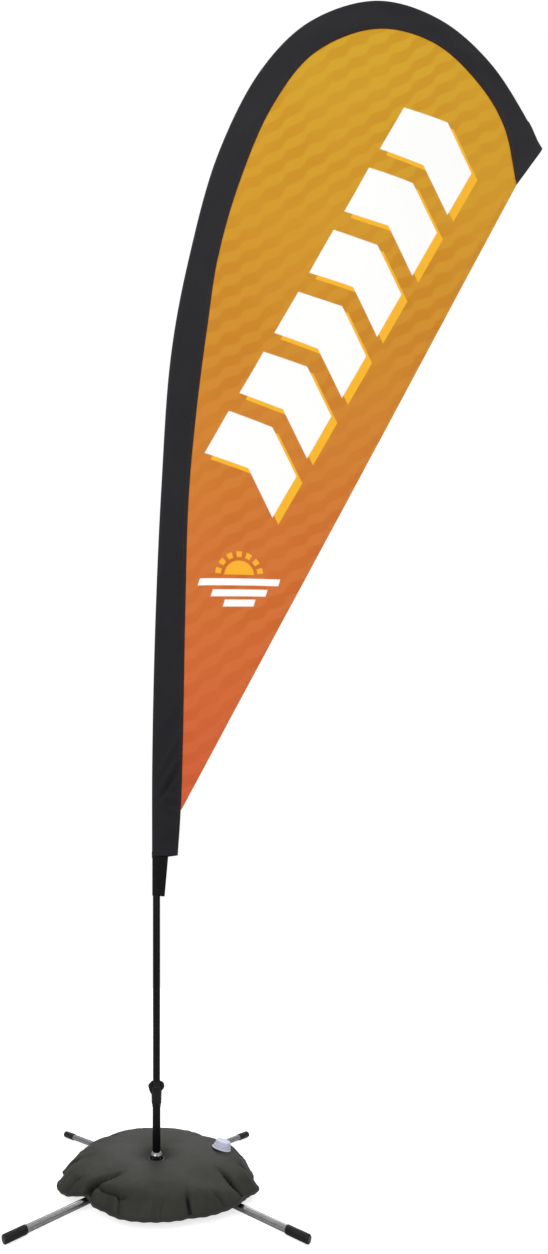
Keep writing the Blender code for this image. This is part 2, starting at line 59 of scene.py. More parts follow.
RISE = 0.011  # height of the hub's datum over the floor, down to which the legs slope
bpy.ops.object.select_all(action="DESELECT")

# %% [markdown]
# ## Camera
# A tall, thin thing is easiest to judge when its upright lines stay upright, so the camera looks level.
# It stands low and close in front of the base, which gives the four legs their strong perspective, and
# the lens is shifted up and to the side, as a view camera's is, to take in the whole flag.

# %% Camera
CAMERA_DISTANCE = 1.10
CAMERA_HEIGHT = 0.476
METRE_SHARE = 0.3210526  # the share of the view's height that one metre takes at the flag's plane
SENSOR = 36.0

camera = bpy.data.objects.new("camera", bpy.data.cameras.new("camera"))
bpy.context.scene.collection.objects.link(camera)
camera.location = (0.0, -CAMERA_DISTANCE, CAMERA_HEIGHT + RISE)
camera.rotation_euler = (radians(90.0), 0.0, 0.0)
camera.data.sensor_width = SENSOR
camera.data.lens = SENSOR * METRE_SHARE * CAMERA_DISTANCE
camera.data.shift_x = 0.0937
camera.data.shift_y = 0.2825
camera.data.clip_start = 0.01
bpy.context.scene.camera = camera
print("lens", round(camera.data.lens, 2), "mm")

# %% [markdown]
# ## Light and floor
# A white room: the sky lights everything softly, a darker band at eye height gives the chrome something
# to reflect, two large soft lamps stand in front and a third one behind. The camera itself sees plain
# white behind the flag, which is what the Light Path node's camera switch is for.

# %% World
world = bpy.data.worlds.new("studio")
bpy.context.scene.world = world
bpy.context.scene.view_settings.view_transform = "Standard"
world.use_nodes = True
sky = world.node_tree
sky.nodes.clear()
direction, split, band, room, backdrop, ray, choose, sky_out = (
    sky.nodes.new("ShaderNode" + kind)
    for kind in ("TexCoord", "SeparateXYZ", "ValToRGB", "Background", "Background", "LightPath",
                 "MixShader", "OutputWorld"))
GREYS = ((0.0, (0.30, 0.30, 0.31)), (0.22, (0.40, 0.40, 0.41)), (0.80, (1.0, 1.0, 1.0)))
band.color_ramp.elements.new(GREYS[1][0])
for stop, (height, grey) in zip(band.color_ramp.elements, GREYS):
    stop.position = height
    stop.color = (*grey, 1.0)
room.inputs["Strength"].default_value = 1.08
backdrop.inputs["Color"].default_value = (1.0, 1.0, 1.0, 1.0)
for start, end in (
    (direction.outputs["Generated"], split.inputs[0]), (split.outputs["Z"], band.inputs["Fac"]),
    (band.outputs["Color"], room.inputs["Color"]), (ray.outputs["Is Camera Ray"], choose.inputs["Fac"]),
    (room.outputs[0], choose.inputs[1]), (backdrop.outputs[0], choose.inputs[2]),
    (choose.outputs[0], sky_out.inputs[0]),
):
    sky.links.new(start, end)
print("studio sky ready")


# %% Lamps
def soft_lamp(name, place, target, size, power):
    """A square lamp that faces a point."""
    light = bpy.data.lights.new(name, "AREA")
    light.shape = "RECTANGLE"
    light.size, light.size_y = size
    light.energy = power
    lamp = bpy.data.objects.new(name, light)
    bpy.context.scene.collection.objects.link(lamp)
    lamp.location = place
    lamp.rotation_euler = (Vector(target) - Vector(place)).to_track_quat("-Z", "Y").to_euler()
    return lamp


soft_lamp("key", (-2.6, -4.0, 3.4), (0.2, 0.0, 1.3), (2.2, 3.2), 95.0)
soft_lamp("fill", (3.4, -4.2, 2.2), (0.3, 0.0, 1.4), (2.4, 3.4), 33.0)
soft_lamp("back", (0.4, 4.6, 3.6), (0.3, 0.0, 1.4), (3.0, 3.0), 60.0)
print("3 lamps")

# %% [markdown]
# ## Shader sums
# A pattern is arithmetic on the place of a point. Wiring Math nodes by hand hides that arithmetic, so
# one small class wraps a socket and lets Python's own operators add the nodes. A second class holds a
# material and makes any other node in one call: its settings first, then the values of its sockets.


# %% Values and finishes
class Value:
    """A number that changes over a surface. Sums on it add Math nodes."""

    def __init__(self, finish, socket):
        self.finish = finish
        self.socket = socket

    def do(self, operation, *others):
        inputs = dict(enumerate((self, *others)))
        return self.finish.node("Math", {"operation": operation}, inputs)[0]

    def __add__(self, other):
        return self.do("ADD", other)

    def __sub__(self, other):
        return self.do("SUBTRACT", other)

    def __mul__(self, other):
        return self.do("MULTIPLY", other)

    def __truediv__(self, other):
        return self.do("DIVIDE", other)

    def __rsub__(self, other):
        return self.finish.constant(other) - self

    __radd__ = __add__
    __rmul__ = __mul__


class Finish:
    """A material, its shader and the nodes in front of it."""

    def __init__(self, name, roughness=0.5, metallic=0.0):
        self.material = bpy.data.materials.new(name)
        self.material.use_nodes = True
        self.tree = self.material.node_tree
        self.shader = self.tree.nodes["Principled BSDF"]
        self.set("Roughness", roughness)
        self.set("Metallic", metallic)

    def feed(self, socket, value):
        if isinstance(value, Value):
            self.tree.links.new(value.socket, socket)
        elif isinstance(value, tuple) and len(value) == 3 and socket.type == "RGBA":
            socket.default_value = (*value, 1.0)
        else:
            socket.default_value = value

    def node(self, kind, settings=None, inputs=None):
        """Add a shader node; its outputs come back as values."""
        made = self.tree.nodes.new("ShaderNode" + kind)
        for key, value in (settings or {}).items():
            if key == "stops":
                self.set_stops(made.color_ramp, value)
            else:
                setattr(made, key, value)
        for key, value in (inputs or {}).items():
            self.feed(made.inputs[key], value)
        return [Value(self, socket) for socket in made.outputs]

    def set_stops(self, ramp, stops):
        while len(ramp.elements) < len(stops):
            ramp.elements.new(0.5)
        for element, (position, colour) in zip(ramp.elements, stops):
            element.position = position
            element.color = (*colour, 1.0)

    def set(self, socket, value):
        self.feed(self.shader.inputs[socket], value)

    def constant(self, value):
        made = self.node("Value")[0]
        made.socket.default_value = value
        return made

    def place(self):
        """The x, y and z of a point on the piece."""
        spot = self.node("TexCoord")[3]
        return self.node("SeparateXYZ", None, {0: spot})

    def step(self, value, low, high):
        """0 below low, 1 above high, smooth between."""
        inputs = {"Value": value, "From Min": low, "From Max": high}
        return self.node("MapRange", {"interpolation_type": "SMOOTHSTEP"}, inputs)[0]

    def noise(self, scale, detail=2.0, stretch=(1.0, 1.0, 1.0)):
        """Soft noise of about one blob per 1/scale metres, from 0 to 1."""
        spot = self.node("TexCoord")[3]
        if stretch != (1.0, 1.0, 1.0):
            spot = self.node("Mapping", None, {"Vector": spot, "Scale": stretch})[0]
        inputs = {"Vector": spot, "Scale": scale, "Detail": detail}
        return self.node("TexNoise", None, inputs)[0]

    def mix(self, share, first, second, blend="MIX"):
        """Mix two colours."""
        settings = {"data_type": "RGBA", "blend_type": blend}
        return self.node("Mix", settings, {0: share, 6: first, 7: second})[2]

    def bump(self, height, depth, strength=1.0, under=None):
        """Tilt the surface's normal by a height pattern, depth metres deep."""
        inputs = {"Height": height, "Distance": depth, "Strength": strength}
        if under is not None:
            inputs["Normal"] = under
        normal = self.node("Bump", None, inputs)[0]
        self.set("Normal", normal)
        return normal


print("shader helpers ready")

# %% [markdown]
# ## Metals and hard plastics
# The cross bars are plated steel tube: bright, but not a mirror, with faint marks along the tube from
# drawing it. The fittings are moulded plastic, whose grain is a tiny bump. Marks that run one way are
# noise stretched along that way, so each bar gets its own turn of the pattern.


# %% Metal finishes
def plated(name, angle):
    """Plated steel with drawing marks along a bar that lies at an angle, in degrees."""
    made = Finish(name, metallic=1.0)
    spot = made.node("TexCoord")[3]
    along = made.node("Mapping", None, {
        "Vector": spot, "Rotation": (0.0, 0.0, radians(-angle)), "Scale": (3.0, 200.0, 200.0),
    })[0]
    marks = made.node("TexNoise", None, {"Vector": along, "Scale": 1.0, "Detail": 2.0})[0]
    scuffs = made.step(made.noise(45.0, 4.0), 0.56, 0.74)
    tint = made.mix(made.step(marks, 0.35, 0.65), (0.25, 0.253, 0.256), (0.31, 0.313, 0.316))
    made.set("Base Color", made.mix(scuffs * 0.25, tint, (0.150, 0.150, 0.153)))
    made.set("Roughness", 0.21 + marks * 0.08 + scuffs * 0.12)
    made.bump(marks, 0.00001, 0.4)
    return made.material


def moulded(name, colour, roughness, grain=900.0, depth=0.00006, dust=0.12, shine=0.5):
    """Moulded plastic or rubber: a fine grain, and a little dust in broad patches."""
    made = Finish(name)
    patches = made.step(made.noise(28.0, 3.0), 0.45, 0.75)
    pale = tuple(min(1.0, channel * 1.4 + 0.02) for channel in colour)
    made.set("Base Color", made.mix(patches * dust, colour, pale))
    made.set("Roughness", roughness + patches * 0.12)
    made.set("Specular IOR Level", shine)
    made.bump(made.noise(grain, 2.0), depth, 0.8)
    return made.material


CHROME_UP = plated("plated_upper_bar", -45.0)
CHROME_LOW = plated("plated_lower_bar", 45.0)
STEEL = plated("bare_steel", 0.0)
POLISHED = plated("polished_spindle", 90.0)
PLASTIC = moulded("black_moulding", (0.0055, 0.0055, 0.0060), 0.33, shine=0.22)
RUBBER = moulded("black_rubber", (0.010, 0.010, 0.010), 0.68, 500.0, 0.0001, 0.3, 0.3)
NYLON = moulded("natural_nylon", (0.70, 0.69, 0.64), 0.42)
VALVE_WHITE = moulded("white_moulding", (0.60, 0.61, 0.72), 0.34, 1200.0, 0.00003, 0.2)
VALVE_GREY = moulded("pale_grey_moulding", (0.50, 0.50, 0.60), 0.40, 1200.0, 0.00003, 0.2)
print("8 hard finishes")

# %% [markdown]
# ## The pole's coating
# The lower pole is aluminium under satin black paint, and the upper sections are bare glass fibre.
# Paint on a pole picks up fine rubs along its length, where the sections slide into each other.


# %% Pole finishes
def drawn_black(name, colour, rubbed, roughness):
    """A dark coating with rub marks that run up the pole."""
    made = Finish(name)
    rubs = made.step(made.noise(1.0, 4.0, (420.0, 420.0, 9.0)), 0.55, 0.78)
    made.set("Base Color", made.mix(rubs * 0.5, colour, rubbed))
    made.set("Roughness", roughness + rubs * 0.14)
    made.set("Specular IOR Level", 0.14)
    made.bump(rubs, 0.00003, 0.5)
    return made.material


POLE_BLACK = drawn_black("satin_black_pole", (0.0040, 0.0040, 0.0040), (0.012, 0.012, 0.012), 0.30)
FIBRE = drawn_black("glass_fibre", (0.030, 0.030, 0.030), (0.075, 0.074, 0.070), 0.45)
print("2 pole finishes")

# %% [markdown]
# ## Black sleeve cloth
# The sleeve is dense black polyester. A plain weave is two sets of threads that pass over and under
# each other, which is the product of two waves at right angles. Along its seam the print of the panel
# has bled into the black as a thin dark red line: that follows the cloth's edge, so it reads the
# piece's own UV map, in which u runs across the sleeve from one edge to the other.

# %% Sleeve cloth
THREAD = 0.0011  # distance between two threads
WEAVE_DEPTH = 0.00012


def weave(made):
    """The height of a plain weave that lies in the XZ plane, from -1 to 1."""
    x, y, z = made.place()
    turn = 2.0 * pi / THREAD
    return ((x + y) * turn).do("SINE") * (z * turn).do("SINE")


def black_cloth(name, colour, bleed=False):
    """Black woven cloth; bleed adds the red line along its edges."""
    made = Finish(name)
    folds = made.noise(7.0, 3.0)
    colour_now = made.mix(folds, tuple(c * 0.78 for c in colour), tuple(c * 1.25 for c in colour))
    if bleed:
        across = made.node("SeparateXYZ", None, {0: made.node("TexCoord")[2]})[0]
        edge = across.do("MINIMUM", 1.0 - across)
        colour_now = made.mix(made.step(edge, 0.012, 0.004), colour_now, (0.060, 0.010, 0.008))
    made.set("Base Color", colour_now)
    made.set("Roughness", 0.78 + folds * 0.12)
    made.set("Sheen Weight", 0.03)
    made.set("Sheen Roughness", 0.45)
    made.set("Specular IOR Level", 0.12)
    made.bump(weave(made), WEAVE_DEPTH, 0.5)
    return made.material


SLEEVE_BLACK = black_cloth("sleeve_cloth", (0.0155, 0.0152, 0.0182), bleed=True)
WEBBING = black_cloth("black_webbing", (0.0060, 0.0060, 0.0055))
print("2 black cloths")

# %% [markdown]
# ## Printed cloth
# The panel is thin knitted polyester with a sublimation print that goes right through. The print is a
# sunset: gold at the top, red-orange at the foot, crossed by tone-on-tone streaks that climb to the
# right with a slow wobble. On it lies a row of six bold white arrowheads with a golden drop shadow, along
# the free edge, and a small emblem near the foot. All of it is arithmetic on the point's x and z.

# %% Print layout
ROW_START = (0.1190, 1.7870)  # the row's lower left corner, x and z
ROW_END = (0.6630, 2.7270)  # the same corner at its top
ROW_WIDTH = 0.226
ROW_SLANT = 0.24  # the row's ends lean back by this share of its width
ARROWS = 6
ARROW_SHARE = 0.70  # how much of each step is white
ARROW_POINT = 0.42  # how far an arrowhead's middle runs ahead
SHADOW = (0.0150, -0.0165)
STREAK_TILT = radians(36.0)
STREAK_PITCH = 0.046
BEAD_PITCH = 0.066  # each streak is a chain of soft beads
EMBLEM = (0.205, 1.482)
SUN_RADIUS = 0.060
RAYS = 14
BARS = ((-0.016, 0.100), (-0.043, 0.068), (-0.068, 0.038))  # below the centre, half length

SUNSET = [
    (0.00, (0.615, 0.113, 0.040)), (0.22, (0.630, 0.154, 0.037)), (0.38, (0.622, 0.187, 0.032)),
    (0.58, (0.610, 0.252, 0.024)), (0.75, (0.625, 0.303, 0.020)), (1.00, (0.640, 0.362, 0.019)),
]
SUNSET_FOOT = 0.92
SUNSET_TOP = 2.84
GOLD = (0.93, 0.47, 0.025)
EMBLEM_GOLD = (0.95, 0.45, 0.030)
PAPER = (0.97, 0.97, 0.955)
print(ARROWS, "arrowheads,", RAYS, "rays and", len(BARS), "bars")


# %% Print masks
def inside(made, value, low, high, soft=0.0012):
    """1 where a value is between two others, with a soft edge."""
    return made.step(value, low - soft, low + soft) * made.step(value, high + soft, high - soft)


def arrow_row(made, x, z):
    """1 on the arrowheads. The row has its own axes: along it and across it."""
    length = hypot(ROW_END[0] - ROW_START[0], ROW_END[1] - ROW_START[1])
    up = ((ROW_END[0] - ROW_START[0]) / length, (ROW_END[1] - ROW_START[1]) / length)
    along = (x - ROW_START[0]) * up[0] + (z - ROW_START[1]) * up[1]
    across = (x - ROW_START[0]) * up[1] - (z - ROW_START[1]) * up[0]
    step = (length - ARROW_POINT * ROW_WIDTH / 2.0) / ARROWS
    bent = along + (across - ROW_WIDTH / 2.0).do("ABSOLUTE") * ARROW_POINT
    shifted = bent + across * ROW_SLANT - ARROW_POINT * ROW_WIDTH / 2.0
    place_in_step = (shifted / step).do("FRACT") * step
    heads = inside(made, place_in_step, 0.0012, step * ARROW_SHARE)
    row = inside(made, shifted, 0.0, step * ARROWS)
    return heads * row * inside(made, across, 0.0, ROW_WIDTH)


def sun(made, x, z):
    """1 on the emblem's half sun and its rays."""
    dx = x - EMBLEM[0]
    dz = z - EMBLEM[1]
    radius = (dx * dx + dz * dz).do("SQRT")
    turn = dz.do("ARCTAN2", dx) * (RAYS / (2.0 * pi)) + RAYS
    rays = inside(made, turn.do("FRACT"), 0.22, 0.78, 0.03) * inside(made, radius, 0.046, SUN_RADIUS)
    return rays.do("MAXIMUM", inside(made, radius, -1.0, 0.037)) * made.step(dz, 0.001, 0.003)


def bars(made, x, z):
    """1 on the emblem's slanted bars, like the sun's path on water."""
    found = made.constant(0.0)
    for below, half in BARS:
        height = z - (EMBLEM[1] + below)
        slanted = x - EMBLEM[0] - height * 0.32
        bar = inside(made, slanted, -half, half) * inside(made, height, -0.0085, 0.0085)
        found = found.do("MAXIMUM", bar)
    return found


def printed_cloth(name):
    """The panel's cloth with all of its print."""
    made = Finish(name)
    x, y, z = made.place()
    z = z - RISE
    height = (z - SUNSET_FOOT) / (SUNSET_TOP - SUNSET_FOOT)
    ground = made.node("ValToRGB", {"stops": SUNSET}, {"Fac": height})[0]
    along = x * cos(STREAK_TILT) + z * sin(STREAK_TILT)
    across = z * cos(STREAK_TILT) - x * sin(STREAK_TILT)
    drift = made.noise(3.0, 2.0) * 0.06
    row = (across + drift) * (2.0 * pi / STREAK_PITCH)
    beads = ((along + drift * 1.5) * (2.0 * pi / BEAD_PITCH) + row * 0.5).do("SINE")
    streak = made.step(row.do("SINE") + beads * 0.55, -0.45, 0.55)
    fade = 0.35 + made.step(made.noise(4.0, 1.0), 0.35, 0.65) * 0.65
    dark = made.mix(fade, ground, made.mix(1.0, ground, (0.95, 0.86, 0.72), "MULTIPLY"))
    light = made.mix(1.0, ground, (1.02, 1.03, 1.06), "MULTIPLY")
    ground = made.mix(streak, dark, light)
    shadow = arrow_row(made, x - SHADOW[0], z - SHADOW[1])
    ground = made.mix(shadow, ground, GOLD)
    ground = made.mix(sun(made, x, z), ground, EMBLEM_GOLD)
    white = arrow_row(made, x, z).do("MAXIMUM", bars(made, x, z))
    made.set("Base Color", made.mix(white, ground, PAPER))
    made.set("Roughness", 0.72 + made.noise(30.0) * 0.1)
    made.set("Specular IOR Level", 0.08)
    made.bump(weave(made), WEAVE_DEPTH, 0.35)
    return made.material


PRINT = printed_cloth("printed_cloth")
print("printed cloth with", len(PRINT.node_tree.nodes), "nodes")

# %% [markdown]
# ## Bag cloth
# The weight ring is made of coated tarpaulin: a coarse scrim of threads shows faintly through a matte
# grey-green skin. Handling leaves paler, slightly rougher patches, and dust lies on what faces up. The
# bag's mesh holds an attribute of painted shade, high in its creases and along the front fold, and there
# the skin's colour is darkened to near black to stand in for the shade that falls there.


# %% Tarpaulin
SCRIM_PITCH = 0.0021


def tarpaulin(name):
    """Coated cloth over a coarse scrim, dusty on top, with painted shade darkening its creases."""
    made = Finish(name)
    x, y, z = made.place()
    turn = 2.0 * pi / SCRIM_PITCH
    scrim = (x * turn).do("SINE").do("MAXIMUM", (y * turn).do("SINE"))
    patches = made.step(made.noise(9.0, 4.0), 0.38, 0.70)
    skin = made.mix(patches, (0.0215, 0.0216, 0.0172), (0.0280, 0.0278, 0.0222))
    up = made.node("SeparateXYZ", None, {0: made.node("NewGeometry")[1]})[2]
    dusty = made.step(up, 0.3, 0.95) * made.step(made.noise(60.0, 4.0), 0.45, 0.65)
    crease = made.node("Attribute", {"attribute_name": "crease"})[2]
    # Painted shade: where the crease shade attribute is high, the skin darkens to near black, in creases
    # and along the front fold.
    skin = made.mix(crease * 0.80, skin, (0.0040, 0.0042, 0.0050))
    made.set("Base Color", made.mix(dusty * (1.0 - crease) * 0.15, skin, (0.052, 0.050, 0.041)))
    made.set("Roughness", 0.50 + patches * 0.10)
    made.set("Specular IOR Level", 0.16)
    made.bump(scrim, 0.00008, 0.35, under=made.bump(made.noise(38.0, 3.0), 0.0011, 0.35))
    return made.material


BAG_CLOTH = tarpaulin("coated_tarpaulin")
print("tarpaulin ready")

# %% [markdown]
# ## Finishes on the frame's own pieces
# What the frame already shapes exactly keeps its mesh, and takes the finish that the real piece has.

# %% Finish the frame's pieces
FRAME_FINISHES = {
    CHROME_LOW: ["lower_cross_bar", "hub_boss", "spindle_rod"],
    CHROME_UP: ["upper_cross_bar"],
    STEEL: ["pivot_bolt", "bearing_inner_race", "bearing_outer_race", "bearing_cage",
            "retaining_ring", "collar_screw", "tip_ferrule"],
    PLASTIC: ["end_cap_front_left", "end_cap_front_right", "end_cap_back_left",
              "end_cap_back_right", "pole_collar", "centre_grommet"],
    RUBBER: ["floor_pad", "o_ring_1", "o_ring_2", "o_ring_3", "pole_tip_cap", "valve_seal"],
    NYLON: ["pivot_washer"],
    POLE_BLACK: ["foot_tube", "lower_pole"],
    FIBRE: ["middle_pole", "upper_pole", "tip_pole"],
    SLEEVE_BLACK: ["pole_sleeve", "tip_pocket", "tension_strap"],
    PRINT: ["flag_panel"],
    BAG_CLOTH: ["water_bag", "rim_weld"],
    VALVE_WHITE: ["valve_cap"],
    VALVE_GREY: ["valve_flange"],
}


def wear(obj, material):
    """Give an object one material."""
    obj.data.materials.clear()
    obj.data.materials.append(material)


for material, names in FRAME_FINISHES.items():
    for name in names:
        wear(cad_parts[name], material)
left = set(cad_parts) - set(sum(FRAME_FINISHES.values(), []))
print("finished", len(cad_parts) - len(left), "frame pieces, left:", sorted(left))

# %% [markdown]
# ## Floor
# The floor only catches light and the faintest shadow, so it is a stage piece, not part of the flag. It
# glows for the camera alone: the picture's floor stays white, and no extra light reaches the metal.

# %% Floor
FLOOR_GLOW = (0.72, 0.72, 0.72)
bpy.ops.mesh.primitive_plane_add(size=60.0, location=(0.0, 0.0, 0.0))
floor = bpy.context.object
floor.name = "floor"
paper = Finish("pale_floor", roughness=0.9)
paper.set("Base Color", (0.70, 0.70, 0.70))
paper.set("Specular IOR Level", 0.1)
seen = paper.node("LightPath")[0]
paper.set("Emission Color", paper.mix(seen, (0.0, 0.0, 0.0), FLOOR_GLOW))
paper.set("Emission Strength", 1.0)
wear(floor, paper.material)
print("floor ready")

# %% [markdown]
# ## Modelling helpers
# A turned piece is modelled by hand as a circle whose edge is extruded from point to point of its
# profile and resized there. Each finished piece then gets its doubles merged, its normals turned
# outwards and its place applied to the mesh, so that its object sits at the origin.

# %% Helpers
MERGE = 0.000002  # points closer than this are one


def open_edit(obj):
    """Go into edit mode on one object, with all of it selected."""
    bpy.ops.object.select_all(action="DESELECT")
    bpy.context.view_layer.objects.active = obj
    obj.select_set(True)
    bpy.ops.object.mode_set(mode="EDIT")
    bpy.ops.mesh.select_mode(type="VERT")
    bpy.ops.mesh.select_all(action="SELECT")


def fresh(operator, **settings):
    """Add a mesh primitive, with its place put in its mesh."""
    operator(**settings)
    bpy.ops.object.transform_apply(location=True, rotation=True, scale=True)
    return bpy.context.object


def clean():
    """In edit mode, merge doubles and turn the normals outwards."""
    bpy.ops.mesh.select_all(action="SELECT")
    bpy.ops.mesh.remove_doubles(threshold=MERGE)
    bpy.ops.mesh.normals_make_consistent(inside=False)


def settle(obj, name, body, material, stands_for=(), angle=35.0, place=None):
    """Clean a mesh, put its place in it, and let it ride on a body of the frame."""
    obj.matrix_world = Matrix.Translation((0, 0, RISE)) @ (place or Matrix.Identity(4))
    if bpy.context.object != obj or obj.mode != "EDIT":
        open_edit(obj)
    clean()
    bpy.ops.object.mode_set(mode="OBJECT")
    bpy.ops.object.select_all(action="DESELECT")
    obj.select_set(True)
    bpy.ops.object.transform_apply(location=True, rotation=True, scale=True)
    bpy.ops.object.shade_smooth_by_angle(angle=radians(angle))
    obj.select_set(False)
    obj.name = name
    obj.data.name = name
    wear(obj, material)
    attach(obj, body)
    if stands_for:
        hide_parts(*stands_for)
    print(name, "has", len(obj.data.polygons), "faces")
    return obj


def turn(profile, sides=48):
    """Extrude a circle along (radius, height) points, in millimetres. Stays in edit mode.

    A profile that starts on the axis starts with a flat disc.
    """
    solid = profile[0][0] == 0
    points = profile[1:] if solid else profile
    last, height = points[0]
    obj = fresh(bpy.ops.mesh.primitive_circle_add, vertices=sides, radius=last * MM,
                location=(0, 0, height * MM), fill_type="TRIFAN" if solid else "NOTHING")
    open_edit(obj)
    if solid:
        pick(obj, lambda p: hypot(p.x, p.y) > last * MM / 2.0)
    for radius, low in points[1:]:
        bpy.ops.mesh.extrude_region_move(TRANSFORM_OT_translate={"value": (0, 0, (low - height) * MM)})
        size = radius / last
        bpy.ops.transform.resize(value=(size, size, 1.0), center_override=(0, 0, low * MM))
        last, height = radius, low
    return obj


def pick(obj, test, kind="VERT"):
    """In edit mode, select only the vertices or faces whose place passes a test."""
    bpy.ops.mesh.select_mode(type=kind)
    bpy.ops.mesh.select_all(action="DESELECT")
    mesh = bmesh.from_edit_mesh(obj.data)
    for part in mesh.faces if kind == "FACE" else mesh.verts:
        centre = part.calc_center_median() if kind == "FACE" else part.co
        if test(centre):
            part.select_set(True)
    mesh.select_flush_mode()
    bmesh.update_edit_mesh(obj.data)


def apply_modifier(obj, kind, **settings):
    """Add a modifier and apply it."""
    if obj.mode == "EDIT":
        bpy.ops.object.mode_set(mode="OBJECT")
    bpy.context.view_layer.objects.active = obj
    made = obj.modifiers.new(kind.lower(), kind)
    for key, value in settings.items():
        setattr(made, key, value)
    bpy.ops.object.modifier_apply(modifier=made.name)


def bell(offset, width):
    """1 at no offset, falling softly to 0."""
    return exp(-(offset / width) ** 2)


def smooth(share):
    share = min(1.0, max(0.0, share))
    return share * share * (3.0 - 2.0 * share)


print("helpers ready")

# %% [markdown]
# ## The water bag
# The weight is a ring of tarpaulin, two discs welded at their rim and round a hole in the middle,
# and filled with a few litres of water. It lies on the four legs: pinched in where a leg comes out,
# and sagging towards the floor in lobes between them. It is turned as a plain ring first. Then its
# points are moved: the outline gets its lobes, the underside sags between the legs, and each crease is
# a valley that starts on the top and deepens towards the rim. One more fold rolls along the front.

# %% Bag shape
BAG_OUTLINE = 0.2365  # the rim's usual distance from the pole
BAG_SIDES = 540
BAG_TOP_PROFILE = [
    (236.5, 22), (235, 25.5), (232, 29.5), (228, 33), (223, 36.4), (217, 39.6),
    (210, 42.5), (202, 45.2), (193, 47.7), (183, 50), (172, 52.1), (160, 53.9),
    (147, 55.4), (133, 56.5), (118, 57.1), (103, 57), (88, 56.2), (74, 54.7),
    (61, 52.5), (50, 49.8), (41, 46.6), (34, 43.4), (28.5, 40.4), (24.5, 38),
    (21.5, 36.4), (19.3, 35.4), (18.4, 33.5),
]
BAG_UNDER_PROFILE = [
    (18.4, 22), (19.3, 20.3), (24, 19.6), (34, 19.4), (50, 19.4), (70, 19.4), (92, 19.4),
    (114, 19.4), (136, 19.4), (156, 19.4), (174, 19.4), (190, 19.4), (203, 19.5),
    (213, 19.6), (221, 19.7), (227, 19.9), (231.5, 20.2), (234.5, 20.7), (236.5, 22),
]
# Bulges (+) and pinches (-) of the outline: angle, amount, half width in degrees
OUTLINE_WAVES = [
    (190, -0.014, 5), (206, 0.005, 8), (228, -0.020, 7), (241, -0.011, 7), (262, 0.003, 14),
    (286, -0.003, 4), (299, 0.003, 9), (314, 0.013, 8), (334, 0.013, 8), (345, -0.005, 5),
    (2, -0.009, 12), (24, 0.003, 10), (47, -0.012, 8), (70, 0.004, 12), (100, 0.003, 12),
    (134, -0.016, 12), (158, -0.017, 13), (176, -0.014, 9),
]
# Creases: angle, where they start, half width and depth in metres, and drift in degrees
CREASES = [
    (227, 0.130, 0.0076, 0.0360, 12), (190, 0.184, 0.0058, 0.0250, -7), (287, 0.190, 0.0046, 0.0140, 3),
    (319, 0.160, 0.0078, 0.0340, 8), (345, 0.200, 0.0060, 0.0080, -5), (45, 0.150, 0.0085, 0.0160, 5),
    (136, 0.150, 0.0085, 0.0160, -5), (8, 0.205, 0.0050, 0.0060, 4), (72, 0.200, 0.0052, 0.0060, -5),
    (104, 0.203, 0.0050, 0.0060, 4), (163, 0.196, 0.0055, 0.0080, 5), (250, 0.196, 0.0060, 0.0060, -14),
    (272, 0.209, 0.0040, 0.0040, 9), (306, 0.204, 0.0060, 0.0060, -16), (214, 0.196, 0.0048, 0.0080, 6),
    (25, 0.206, 0.0045, 0.0040, -3), (90, 0.208, 0.0045, 0.0040, 2), (120, 0.206, 0.0045, 0.0050, 3),
]
ROLL = (228.0, 264.0)  # the front fold's ends, as angles
ROLL_DEPTH = 0.0150
CREASE_PULL = 0.62  # how much a crease draws the cloth beside it in
# Painted shade: a crease this deep gets the full darkening of the bag's colour.
CREASE_FULL_SHADE = 0.0105  # a crease this deep is wholly dark
LEG_ANGLES = (45.0, 135.0, 225.0, 315.0)
LEG_WIDE = 0.030  # half width of the stretch that a leg holds up
SAG = 0.0125  # how far the bag hangs between the legs
RIM_SAG = 0.72  # the rim's share of that
BAG_SLOPE = 0.020  # how much its underside follows the legs down


def turn_between(angle, other):
    """The signed turn from one angle to another, in degrees."""
    return (angle - other + 180.0) % 360.0 - 180.0


def off_leg(x, y):
    """How far a point is from the nearest leg's line."""
    return min(abs(x * sin(radians(leg)) - y * cos(radians(leg))) for leg in LEG_ANGLES)


def outline(angle):
    """The rim's distance from the pole in a direction."""
    return BAG_OUTLINE + sum(size * bell(turn_between(angle, at), wide) for at, size, wide in OUTLINE_WAVES)


def creases(radius, angle, reach):
    """How deep the creases are at a point, and how far round they pull it, in metres."""
    depth = 0.0
    pull = 0.0
    for at, start, wide, deep, drift in CREASES:
        begun = smooth((radius - start) / (0.93 * BAG_OUTLINE - start))
        line = at + drift * (1.0 - begun)
        offset = radians(turn_between(angle, line)) * radius
        depth += deep * begun * bell(offset, wide * (0.6 + 0.6 * begun))
        pull -= CREASE_PULL * offset * begun * bell(offset, 2.0 * wide)
    past = turn_between(angle, ROLL[0])
    roll = smooth(past / 5.0) * smooth(turn_between(ROLL[1], angle) / 16.0)
    return depth + ROLL_DEPTH * roll * bell(reach - 0.905 + 0.0011 * past, 0.014), pull


def puckers(radius, angle, reach):
    """Fine wrinkles that run in from the weld, and slack dimples on the top."""
    way = (cos(angle), sin(angle))
    near = bell(reach - 0.95, 0.085)
    fine = noise.noise(Vector((way[0] * 9.0, way[1] * 9.0, radius * 3.0)) * 2.4)
    slack = noise.noise(Vector((way[0] * radius, way[1] * radius, 0.3)) * 17.0)
    return 0.0026 * near * fine + 0.0022 * slack * smooth((reach - 0.25) / 0.35) * (1.0 - near)


def hang(x, y, radius):
    """How far the bag hangs down at a place, when nothing but the legs holds it up."""
    between = 1.0 - bell(off_leg(x, y), LEG_WIDE)
    out = smooth((radius / BAG_OUTLINE - 0.12) / 0.2)
    return SAG * between * out + BAG_SLOPE * max(0.0, hypot(x, y) - 0.06)


